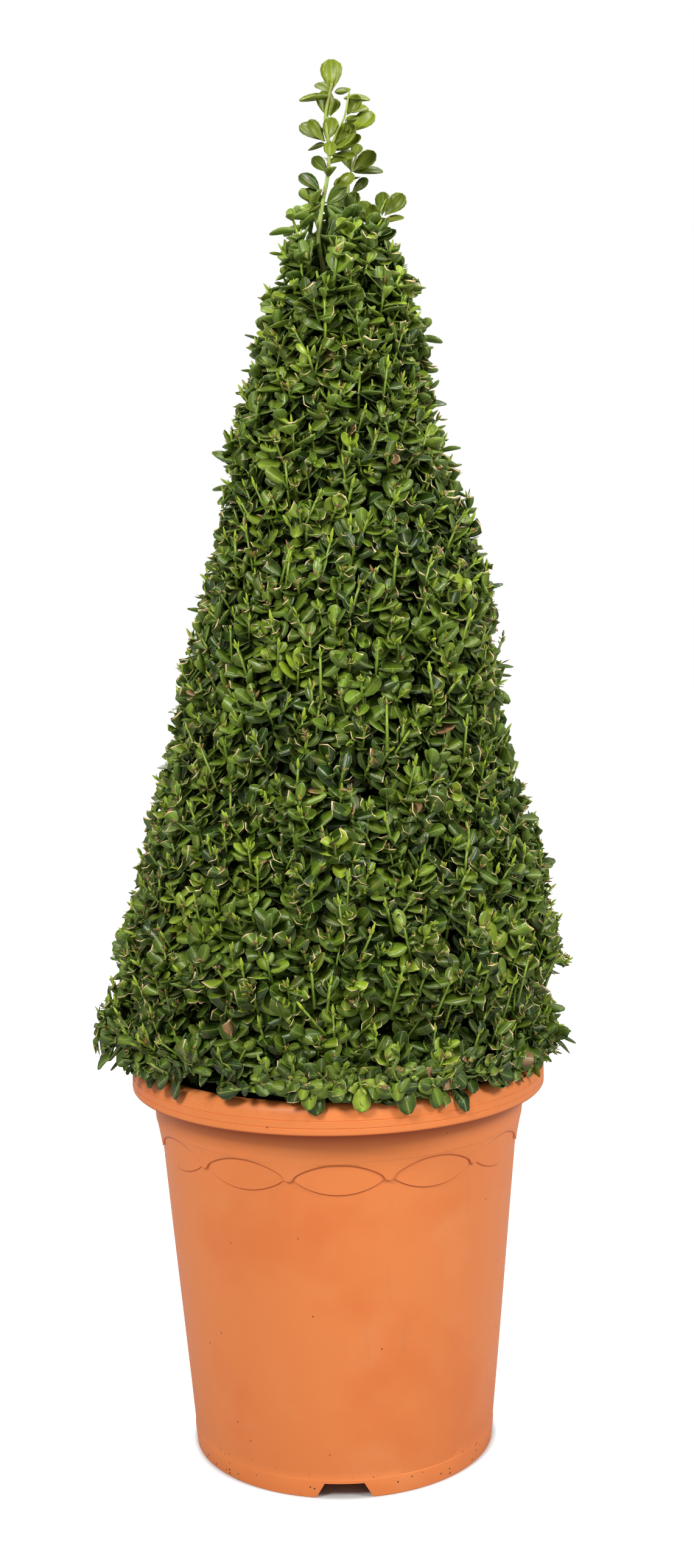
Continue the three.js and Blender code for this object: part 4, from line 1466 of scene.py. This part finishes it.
def rest_on_lip(points):
    """Lifts what would sink into the pot's lip or its soil, and draws in what strays too far."""
    radius = np.hypot(points[:, 0], points[:, 1])
    drawn_in = REACH_MOST + 0.4 * (radius - REACH_MOST)
    points[:, :2] *= (np.minimum(radius, drawn_in) / radius)[:, None]
    radius = np.minimum(radius, drawn_in)
    frontal = np.clip(-2 * points[:, 1] / radius - 0.5, 0, 1)
    lowly = np.clip((POT_HEIGHT + TUCK_HEIGHT - points[:, 2]) / TUCK_FADE, 0, 1)
    outside = LIP_RADIUS + 3 * MM
    tucked = np.minimum(radius, outside + FRONT_TUCK * (radius - outside))
    tucked = radius + frontal * lowly * (tucked - radius)
    points[:, :2] *= (tucked / radius)[:, None]
    radius = tucked
    over_lip = (radius > LIP_INNER_RADIUS) & (radius < LIP_RADIUS + 1.5 * MM)
    rounding = np.clip(radius - LIP_RADIUS + 8 * MM, 0, 10 * MM) * 0.8
    lowest = np.where(over_lip, POT_HEIGHT + 1.2 * MM - rounding, POT_HEIGHT - 4 * MM)
    lift = np.where(radius < LIP_RADIUS + 1.5 * MM, np.maximum(lowest - points[:, 2], 0), 0)
    points[:, 2] += lift
    return points


print("furthest reach, mm:", round(REACH_MOST / MM))

# %% [markdown]
# ## The crown
#
# The crown was clipped least. Loose sprigs stand a little clear of it on every side, with bigger
# leaves and a bud at each tip. Most are spread by rule, and ten that give the crown its outline
# are listed one by one.

# %% Loose sprigs on the crown
LOOSE_COUNT = 84
LOOSE_FROM = CONE_TOP - 190 * MM
LOOSE_TO = CONE_TOP - 4 * MM
# Right, back and up, in mm from the crown's top.
STRAY_TIPS = [
    (-46, -8, -26), (-38, -14, -2), (-26, 4, 16), (-30, 26, 6), (26, -6, -30), (42, 4, -56),
    (26, 18, -8), (22, 32, 2), (2, 22, 10), (28, -14, -8),
]
LOOSE_LENGTH = 46 * MM
LOOSE_STEPS = np.array([2, 8, 16, 25, 35]) * MM
LOOSE_LEAVES = np.array([12, 17, 20, 21, 20]) * MM
LOOSE_SPREAD = np.radians([25, 48, 60, 68, 72])
LOOSE_YOUNG = np.array([0.3, 0.15, 0.05, 0, 0])


def grow_pairs(planting, foot, ways, step_turn, length, spread, light, young, droop_to):
    """Pairs of fine leaves at feet along a stem, each pair a quarter turn from the last."""
    count = len(foot)
    side = any_side(ways)
    for half in range(2):
        turn = step_turn + np.arange(count) * TURN / 4 + half * TURN / 2
        turn = turn + random.normal(0, 0.22, count)
        opened = spread + random.normal(0, 0.14, count)
        outward, way, up_way = swung(ways, side, turn, opened)
        up_way = up_way + droop_to + random.normal(0, 0.25, (count, 3))
        size = length * random.uniform(0.86, 1.12, count)
        shape = FIRST_FINE + random.integers(0, len(fine_shapes), count)
        start = foot + outward * 0.8 * MM
        own_light = light + random.normal(0, 0.12, count)
        tint = tints(count, own_light, young, random.uniform(0, 0.5, count))
        width = size * random.uniform(0.92, 1.1, count)
        planting.add(shape, start, way, up_way, size, width, tint)


loose_angle = np.arange(LOOSE_COUNT) * GOLDEN_ANGLE
loose_level = np.linspace(0, 1, LOOSE_COUNT) ** 0.8 * (LOOSE_TO - LOOSE_FROM) + LOOSE_FROM
loose_tip, outward = frame_at(loose_level, loose_angle)
loose_tip = loose_tip + outward * (random.uniform(-11, 1, LOOSE_COUNT) * MM)[:, None]
loose_tip = np.concatenate([loose_tip, np.array(STRAY_TIPS) * MM + UP * CONE_TOP])
outward = unit(loose_tip * [1, 1, 0])
loose_way = unit(outward * random.uniform(0.1, 0.7, (len(loose_tip), 1)) + UP)
loose_light = random.normal(0.42, 0.22, len(loose_tip))
loose_young = np.clip(random.normal(0.1, 0.25, len(loose_tip)), 0, 0.8)
for index, (tip_place, one_way) in enumerate(zip(loose_tip, loose_way)):
    one = one_way[None]
    sprigs.add(
        TWIG, (tip_place - one_way * LOOSE_LENGTH)[None], one, any_side(one),
        np.array([LOOSE_LENGTH]), 1.5 * MM, tints(1, 0.9, 0.3, 0.05),
    )
    sprigs.add(
        BUD, (tip_place - one_way * MM)[None], one, any_side(one),
        np.array([9 * MM]), 5 * MM, tints(1, 1, 0.8, 0.1),
    )
    grow_pairs(
        sprigs,
        tip_place - one_way * LOOSE_STEPS[:, None],
        np.repeat(one, len(LOOSE_STEPS), axis=0),
        random.uniform(0, TURN),
        LOOSE_LEAVES,
        LOOSE_SPREAD,
        loose_light[index],
        loose_young[index] + LOOSE_YOUNG,
        UP * 0.2 + unit(tip_place * [1, 1, 0]) * 0.4,
    )
print("loose sprigs:", len(loose_tip))

# %% [markdown]
# Three places are thinned first: in front of the leader's foot, so that its stem shows, over a
# strip of soil at the left front, and at the crown's right, where strays would spoil the outline.

# %% Thin what grew
BARE_ANGLE = 122 / 360 * TURN
BARE_WIDTH = 12 / 360 * TURN
BARE_HEIGHT = 21 * MM
BARE_SHARE = 0.85
GAP_RIGHT, GAP_HALF_WIDTH = -16 * MM, 10 * MM
GAP_UP, GAP_HALF_HEIGHT = -18 * MM, 32 * MM
STRAY_RIGHT = 34 * MM
STRAY_DROP = 50 * MM
STRAY_REACH = 3.5 * MM

rows = sprigs.all_rows()
middle = rows[:, 1:4] + rows[:, 4:7] * rows[:, 10:11] / 2
right, forward, level = middle[:, 0], -middle[:, 1], middle[:, 2]
before_leader = (np.abs(right - GAP_RIGHT) < GAP_HALF_WIDTH) & (forward > 3 * MM)
before_leader &= np.abs(level - CONE_TOP - GAP_UP) < GAP_HALF_HEIGHT
angle = np.arctan2(middle[:, 1], middle[:, 0])
over_soil = (np.abs(angle + BARE_ANGLE) < BARE_WIDTH) & (level < BARE_HEIGHT)
strays = (right > STRAY_RIGHT) & (level > CONE_TOP - STRAY_DROP) & (reach_past(middle) > STRAY_REACH)
bared = over_soil & (random.random(len(rows)) < BARE_SHARE)
stays = ~before_leader & ~strays & ~bared
rows, level, angle = rows[stays], level[stays], angle[stays]
print("copies taken out:", int((~stays).sum()))

# %% [markdown]
# The plain solids divide the cone into five tiers of sprays, like slices of a cake. Each copy goes
# to the spray in whose slice its middle lies, and what stands above all of them is the crown.

# %% One piece for each spray
TIER_SPRAYS = [4, 4, 3, 3, 2]
TIER_TURN = 0.7
tier_tops = []
for tier, count in enumerate(TIER_SPRAYS):
    tops = [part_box(f"leaf_spray_{tier + 1}_{i + 1}")[1].z for i in range(count)]
    tier_tops.append(float(np.mean(tops)) - POT_HEIGHT)
tier_of = np.searchsorted(tier_tops, level)
foliage = []
for tier, count in enumerate(TIER_SPRAYS):
    around = (angle + TURN / 4 - tier * TIER_TURN) / TURN
    sector = np.floor(around * count + 0.5).astype(int) % count
    for i in range(count):
        own = rows[(tier_of == tier) & (sector == i)]
        label = f"{tier + 1}_{i + 1}"
        piece = build_piece(f"sprigs_{label}", own, (leaf_green, twig_green), rest_on_lip)
        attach(piece, "root")
        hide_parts(f"leaf_spray_{label}")
        foliage.append(piece)
own = rows[tier_of == len(TIER_SPRAYS)]
crown = build_piece("sprigs_crown", own, (leaf_green, twig_green))
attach(crown, "root")
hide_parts("leaf_crown")
foliage.append(crown)
triangles = [sum(len(face.vertices) - 2 for face in piece.data.polygons) for piece in foliage]
print("triangles in the foliage:", sum(triangles), "most in one piece:", max(triangles))

# %% [markdown]
# ## The shoots that the shears left
#
# Three shoots stand over the crown. Their stems are grown by hand: a small circle is extruded a
# few millimetres at a time along the shoot's line, and drawn in or let out at every step, so
# that it swells where a pair of leaves is set. A curve with a bevel would be quicker, but its
# thickness can't change so easily at the nodes.

# %% The lines of the shoots
# Right, back and up, in mm from the crown's top.
LEADER = [
    (-6, 0, -60), (-14, -2, -38), (-18, -4, -14), (-15, -3, 12), (-11, -3, 34), (-10, -2, 56),
    (-13, -2, 78), (-8, -2, 104),
]
FORK = [(-10, -2, 50), (-5, -4, 64), (2, -5, 78), (5, -5, 93)]
SECOND_SHOOT = [(8, 9, -52), (5, 12, -20), (3, 15, 8), (6, 18, 34), (12, 20, 55)]
SIDE_SHOOT = [(18, -4, -56), (20, -7, -34), (24, -9, -10), (33, -10, 10)]
STEM_STEP = 2.2 * MM
NODE_EVERY = 12 * MM
NODE_SWELL = 0.22
STEM_SIDES = 8


def between(a, b, c, d, t):
    """A place on the curve from b to c, at a share t of the way. a and d lie beyond them."""
    bend = (2 * a - 5 * b + 4 * c - d) * t**2 + (3 * b - a - 3 * c + d) * t**3
    return 0.5 * (2 * b + (c - a) * t + bend)


def smooth_line(points):
    """A smooth line through the points, as places a small step apart, in the leaning frame."""
    points = np.array(points, float) * MM + UP * CONE_TOP
    padded = np.concatenate([2 * points[:1] - points[1:2], points, 2 * points[-1:] - points[-2:-1]])
    line = []
    for index in range(len(points) - 1):
        a, b, c, d = padded[index : index + 4]
        count = max(int(np.linalg.norm(c - b) / STEM_STEP), 2)
        for t in np.arange(count)[:, None] / count:
            line.append(between(a, b, c, d, t))
    return np.concatenate([*[place[None] for place in line], points[-1:]])


def grow_stem(name, line, foot_radius, tip_radius):
    """Extrudes a small circle along a line and returns the stem."""
    share = np.linspace(0, 1, len(line))
    run = share * len(line) * STEM_STEP
    radius = foot_radius + (tip_radius - foot_radius) * share
    radius = radius * (1 + NODE_SWELL * np.maximum(np.cos(run / NODE_EVERY * TURN), 0) ** 8)
    bpy.ops.object.select_all(action="DESELECT")
    bpy.ops.mesh.primitive_circle_add(
        vertices=STEM_SIDES, radius=radius[0], fill_type="NGON", location=line[0]
    )
    stem = bpy.context.object
    stem.name = name
    bpy.ops.object.mode_set(mode="EDIT")
    bpy.ops.mesh.select_all(action="SELECT")
    for index in range(1, len(line)):
        step = line[index] - line[index - 1]
        bpy.ops.mesh.extrude_region_move(TRANSFORM_OT_translate={"value": step})
        grow = radius[index] / radius[index - 1]
        bpy.ops.transform.resize(value=(grow, grow, 1), center_override=line[index])
    bpy.ops.mesh.select_all(action="SELECT")
    bpy.ops.mesh.normals_make_consistent(inside=False)
    bpy.ops.object.mode_set(mode="OBJECT")
    settle(stem)
    set_vertex_places(stem, leaning(vertex_places(stem)))
    bpy.ops.object.shade_smooth_by_angle(angle=math.radians(40))
    return stem


leader_line = smooth_line(LEADER)
fork_line = smooth_line(FORK)
second_line = smooth_line(SECOND_SHOOT)
side_line = smooth_line(SIDE_SHOOT)
leader_stem = grow_stem("leader_stem", leader_line, 2.1 * MM, 1.1 * MM)
fork_stem = grow_stem("fork", fork_line, 1.2 * MM, 0.8 * MM)
leader_stem = join([leader_stem, fork_stem])
second_stem = grow_stem("second_stem", second_line, 1.7 * MM, 0.9 * MM)
side_stem = grow_stem("side_stem", side_line, 1.6 * MM, 0.9 * MM)
print("rings on the leader:", len(leader_line))

# %% [markdown]
# A shoot's bark is green and smooth, with fine ridges along it, and it turns brown and corky in
# places, where last year's leaves fell. The twigs' finish would serve from afar, but these stems
# stand alone and are seen close up.

# %% Green stem finish
STEM_GREEN = (0.3, 0.42, 0.06)
STEM_FURROW = (0.17, 0.26, 0.03)
STEM_OLD = (0.42, 0.36, 0.12)
STEM_CORK = (0.3, 0.19, 0.09)

stem_green, tree, surface, place = new_material("green stem")
ridges = effect(tree, streaks, place, Scale=520.0, Stretch=0.12, Low=0.42, High=0.62)
corky = effect(tree, blotches, place, Scale=85.0, Low=0.5, High=0.62)
old = effect(tree, blotches, place, Scale=30.0, Low=0.5, High=0.66)
colour = tinge(tree, STEM_GREEN, ridges, 0.5, STEM_FURROW)
colour = tinge(tree, colour, old, 0.6, STEM_OLD)
colour = tinge(tree, colour, corky, 0.55, STEM_CORK)
wire_finish(tree, surface, colour, corky, 0.42, 0.75, (ridges, 0.4, 0.2 * MM))
for stem, node in ((leader_stem, "leader"), (second_stem, "second_shoot"), (side_stem, "side_shoot")):
    paint(stem, stem_green)
    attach(stem, "root")
    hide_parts(node)
print("finish on the stems:", stem_green.name)

# %% [markdown]
# Every leaf on a shoot is seen against the sky, so these are set one by one: where its
# foot is, where its tip is, how far the tip comes forward, and which of the three fine leaves
# it is. The upper side faces the shoot's tip, as a real leaf's does, but a leaf that stands
# upright turns it to the front.

# %% Leaves on the shoots
BROAD, ARCHED, CUPPED = range(FIRST_FINE, FIRST_FINE + len(FINE))
TIP_SINKS = [0.22, 0.52, 0.12]

# Foot right and up, tip right and up, tip forward, in mm from the crown's top, then the shape.
LEADER_LEAVES = [
    (-8, 98, -9, 122, 3, BROAD), (-8, 97, -20, 107, -6, BROAD), (-9, 95, -30, 94, 6, ARCHED),
    (-6, 98, 6, 103, -8, CUPPED), (-11, 78, -14, 97, 5, BROAD), (-9, 79, -6, 95, -5, BROAD),
    (1, 93, 19, 94, 4, ARCHED), (4, 80, 13, 93, 6, CUPPED), (5, 82, 22, 90, -7, ARCHED),
    (6, 67, 24, 81, 4, BROAD), (3, 68, 12, 82, -8, CUPPED), (-13, 60, -33, 72, 2, ARCHED),
    (-14, 60, -25, 74, 7, CUPPED), (-13, 58, -27, 57, -6, ARCHED), (-12, 60, -7, 76, 6, BROAD),
    (-7, 52, 8, 72, 4, CUPPED), (-8, 54, 14, 64, 3, CUPPED), (-9, 50, 5, 50, -5, ARCHED),
    (-11, 36, -22, 46, 5, BROAD), (-10, 43, 7, 50, 6, ARCHED), (-17, 22, -33, 33, 3, ARCHED),
    (-6, 22, 8, 34, 5, BROAD), (-13, 12, -29, 19, 6, ARCHED), (-12, 12, 2, 21, 8, BROAD),
    (-15, 14, -26, 6, 3, CUPPED), (-9, 60, -9, 50, 14, ARCHED), (-8, 90, -10, 96, -16, BROAD),
    (-11, 68, -16, 76, -17, BROAD), (-10, 46, -8, 52, -18, ARCHED), (-12, 34, -8, 38, 15, CUPPED),
    (-16, 10, -20, 18, -17, BROAD), (4, 74, 8, 76, 16, ARCHED),
]
SECOND_LEAVES = [
    (8, 41, 26, 55, 4, CUPPED), (9, 41, 29, 43, 6, ARCHED), (7, 42, 2, 58, 3, CUPPED),
    (9, 52, 14, 64, -3, BROAD), (8, 24, 20, 34, 5, CUPPED), (6, 22, -4, 36, -2, BROAD),
    (5, 12, -10, 20, -4, ARCHED), (4, 10, 12, 22, 6, BROAD), (6, 24, 12, 12, 10, ARCHED),
    (4, 6, 18, 12, 4, ARCHED), (3, 4, -9, -6, 3, CUPPED), (8, 36, 10, 42, -17, BROAD),
    (5, 18, 2, 24, -18, ARCHED),
]
SIDE_LEAVES = [
    (32, 2, 32, 18, 6, BROAD), (34, 2, 49, 17, 3, CUPPED), (33, -3, 46, 1, 5, ARCHED),
    (26, -4, 14, 11, 4, BROAD), (26, -8, 24, 8, 8, CUPPED), (24, -18, 42, -10, 6, CUPPED),
    (23, -20, 8, -8, 6, ARCHED), (22, -26, 26, -44, 10, ARCHED),
]

print("leaves on the shoots:", len(LEADER_LEAVES) + len(SECOND_LEAVES) + len(SIDE_LEAVES))

# %% [markdown]
# A leaf's tip sinks below the line from its foot, because the blade arches, so that line is
# raised a little before the leaf is set on it.


# %% Set them on the shoots
def leaves_on(name, leaves, depth, lines, node_prefix):
    """One piece with the listed leaves of a shoot, and a bud at the end of each line."""
    table = np.array(leaves, float)
    count = len(table)
    foot = np.stack([table[:, 0], np.interp(table[:, 1], *depth), table[:, 1]], axis=1)
    tip = np.stack([table[:, 2], foot[:, 1] - table[:, 4], table[:, 3]], axis=1)
    way = tip - foot
    length = np.linalg.norm(way, axis=1)
    size = length * 1.02 * MM
    sinks = np.array(TIP_SINKS)[table[:, 5].astype(int) - BROAD]
    way = way + UP * (sinks * length * 0.8)[:, None] * [1, 1, 0.8]
    upright = np.clip(way[:, 2:] / np.linalg.norm(way, axis=1, keepdims=True), 0, 1)
    up_way = UP * (1.1 - upright) + np.array([0, -1, 0]) * (0.2 + 0.8 * upright)
    up_way = up_way + random.normal(0, 0.12, (count, 3))
    light = np.interp(table[:, 1], [-30, 100], [0.25, 0.55]) + random.normal(0, 0.14, count)
    young = np.interp(table[:, 1], [20, 110], [0.0, 0.25]) + random.normal(0, 0.06, count)
    planting = Planting()
    planting.add(
        table[:, 5], foot * MM + UP * CONE_TOP, way, up_way, size, size,
        tints(count, light, young, random.uniform(0, 0.4, count)),
    )
    for line in lines:
        ways = line[-1:] - line[-2:-1]
        end = line[-1:] - ways * 0.5
        planting.add(BUD, end, ways, any_side(ways), 7 * MM, 3.6 * MM, tints(1, 1, 0.7, 0.1))
    piece = build_piece(name, planting.all_rows(), (young_leaf_green, twig_green))
    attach(piece, "root")
    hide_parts(*[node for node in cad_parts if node.startswith(node_prefix)])
    return piece


piece = leaves_on(
    "leader_leaves", LEADER_LEAVES, ([0, 100], [-3, -2]), [leader_line, fork_line], "leader_leaf"
)
print(piece.name, "faces:", len(piece.data.polygons))
piece = leaves_on(
    "second_shoot_leaves", SECOND_LEAVES, ([0, 55], [14, 20]), [second_line], "second_shoot_leaf"
)
print(piece.name, "faces:", len(piece.data.polygons))
piece = leaves_on(
    "side_shoot_leaves", SIDE_LEAVES, ([-34, 10], [-7, -10]), [side_line], "side_shoot_leaf"
)
print(piece.name, "faces:", len(piece.data.polygons))

# %% [markdown]
# ## Soil
#
# The compost fills the pot to just under its lip, a little higher in the middle. It is peat:
# dark, crumbly, with bits of bark. A Displace modifier could roughen it. Moving the vertices of a
# spun disc does the same, and lets the roughness fade out towards the pot's wall.

# %% Model the compost
COMPOST_DROP = 9 * MM
COMPOST_MOUND = 7 * MM
COMPOST_COLUMNS = 128
LUMP = 1.1 * MM
WAVE = 1.3 * MM
compost_low, compost_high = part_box("compost")
SOIL_RADIUS = (compost_high.x - compost_low.x) / 2
SOIL_LEVEL = POT_HEIGHT - COMPOST_DROP
rings = np.linspace(0, 1, 40)
top = [
    (SOIL_RADIUS * share, SOIL_LEVEL + COMPOST_MOUND * math.cos(share * TURN / 4) ** 0.8)
    for share in rings
]
depth = compost_low.z
under_radius = wall_radius(depth) - WALL - 1.2 * MM
outline = [*top, (SOIL_RADIUS - 0.4 * MM, SOIL_LEVEL - 6 * MM), (under_radius, depth), (0, depth)]
compost = spun("crumbly_compost", outline, COMPOST_COLUMNS)
places = vertex_places(compost)
lumpy = places[:, 2] > SOIL_LEVEL - 1 * MM
radius = np.hypot(places[:, 0], places[:, 1])
inner = np.clip((SOIL_RADIUS - radius) / (4 * MM), 0, 1)
waves = np.sin(places[:, 0] * 190) * np.sin(places[:, 1] * 170 + 1)
waves = waves + np.sin(places[:, 0] * 420 + 60 * radius)
lumps = random.normal(0, LUMP, len(places)) + WAVE * waves
places[:, 2] += np.where(lumpy, lumps * (0.35 + 0.65 * inner), 0)
set_vertex_places(compost, places)
bpy.ops.object.shade_smooth_by_angle(angle=math.radians(50))
print("compost faces:", len(compost.data.polygons))

# %% [markdown]
# Loose crumbs lie on the compost. Each is a copy of one small ball, pressed and dented its own way.

# %% Crumbs
CRUMB_COUNT = 700
bpy.ops.mesh.primitive_ico_sphere_add(subdivisions=1, radius=0.5)
crumb = bpy.context.object
crumb_verts = vertex_places(crumb)
crumb_faces = np.array([list(face.vertices) for face in crumb.data.polygons])
bpy.data.objects.remove(crumb)
angle = random.uniform(0, TURN, CRUMB_COUNT)
reach = np.sqrt(random.uniform(0.15, 1, CRUMB_COUNT)) * (SOIL_RADIUS - 3 * MM)
size = random.gamma(2.2, 0.9, (CRUMB_COUNT, 1)) * MM + 0.8 * MM
shape = random.uniform(0.5, 1.3, (CRUMB_COUNT, 1, 3))
level = SOIL_LEVEL + COMPOST_MOUND * np.cos(reach / SOIL_RADIUS * TURN / 4) ** 0.8 + 1 * MM
centre = np.stack([reach * np.cos(angle), reach * np.sin(angle), level], axis=1)
corners = len(crumb_verts)
rough_verts = crumb_verts[None] * shape * (1 + random.normal(0, 0.16, (CRUMB_COUNT, corners, 1)))
verts = centre[:, None] + rough_verts * size[:, None]
faces = crumb_faces[None] + corners * np.arange(CRUMB_COUNT)[:, None, None]
mesh = bpy.data.meshes.new("crumbs")
mesh.from_pydata(verts.reshape(-1, 3).tolist(), [], faces.reshape(-1, 3).tolist())
crumbs = bpy.data.objects.new("crumbs", mesh)
bpy.context.scene.collection.objects.link(crumbs)
compost = join([compost, crumbs])
print("crumbs:", CRUMB_COUNT)

# %% [markdown]
# Peat is nearly black where it's damp and brown where it has dried, with pale fibres and grit.

# %% Peat finish
PEAT = (0.018, 0.011, 0.007)
PEAT_DRY = (0.075, 0.045, 0.026)
FIBRE = (0.13, 0.08, 0.045)
GRIT = (0.2, 0.15, 0.1)

peat, tree, surface, place = new_material("peat")
damp = effect(tree, blotches, place, Scale=55.0, Low=0.4, High=0.65)
fibres = effect(tree, streaks, place, Scale=300.0, Stretch=1.0, Low=0.55, High=0.7)
grit = effect(tree, specks, place, Scale=260.0, Size=0.3, Rarity=0.82)
colour = tinge(tree, PEAT, damp, 0.7, PEAT_DRY)
colour = tinge(tree, colour, fibres, 0.5, FIBRE)
colour = tinge(tree, colour, grit, 0.5, GRIT)
grain = noise(tree, place, 480.0, detail=5.0)
wire_finish(tree, surface, colour, damp, 0.75, 0.97, (grain, 0.9, 1.2 * MM))
paint(compost, peat)
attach(compost, "root")
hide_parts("compost")
print("finish on the compost:", peat.name)

# %% [markdown]
# ## Bark
#
# The trunk and the branches could be grown anew, with every knot. But their solids have the right
# shape and the leaves hide them, so the solids stay and only get bark: grey brown and corky, with
# furrows that run up the wood, and green algae here and there.

# %% Bark finish on the trunk and branches
BARK_DARK = (0.06, 0.038, 0.022)
BARK_PALE = (0.21, 0.155, 0.1)
BARK_CORK = (0.3, 0.22, 0.13)
ALGAE = (0.1, 0.12, 0.04)

old_bark, tree, surface, place = new_material("boxwood bark")
furrows = effect(tree, streaks, place, Scale=160.0, Stretch=0.2, Low=0.42, High=0.64)
plates = effect(tree, blotches, place, Scale=48.0, Low=0.42, High=0.62)
algae = effect(tree, blotches, place, Scale=16.0, Low=0.52, High=0.75)
colour = blend(tree, furrows, BARK_PALE, BARK_DARK)
colour = tinge(tree, colour, plates, 0.35, BARK_CORK)
colour = tinge(tree, colour, algae, 0.35, ALGAE)
relief = (sum_of(tree, furrows, plates), 0.8, 1.5 * MM)
bumps = wire_finish(tree, surface, colour, plates, 0.72, 0.92, relief)
bumps.invert = True
wood = [obj for node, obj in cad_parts.items() if node == "trunk" or node.startswith("branch")]
for obj in wood:
    paint(obj, old_bark)
print("pieces of wood with bark:", len(wood))
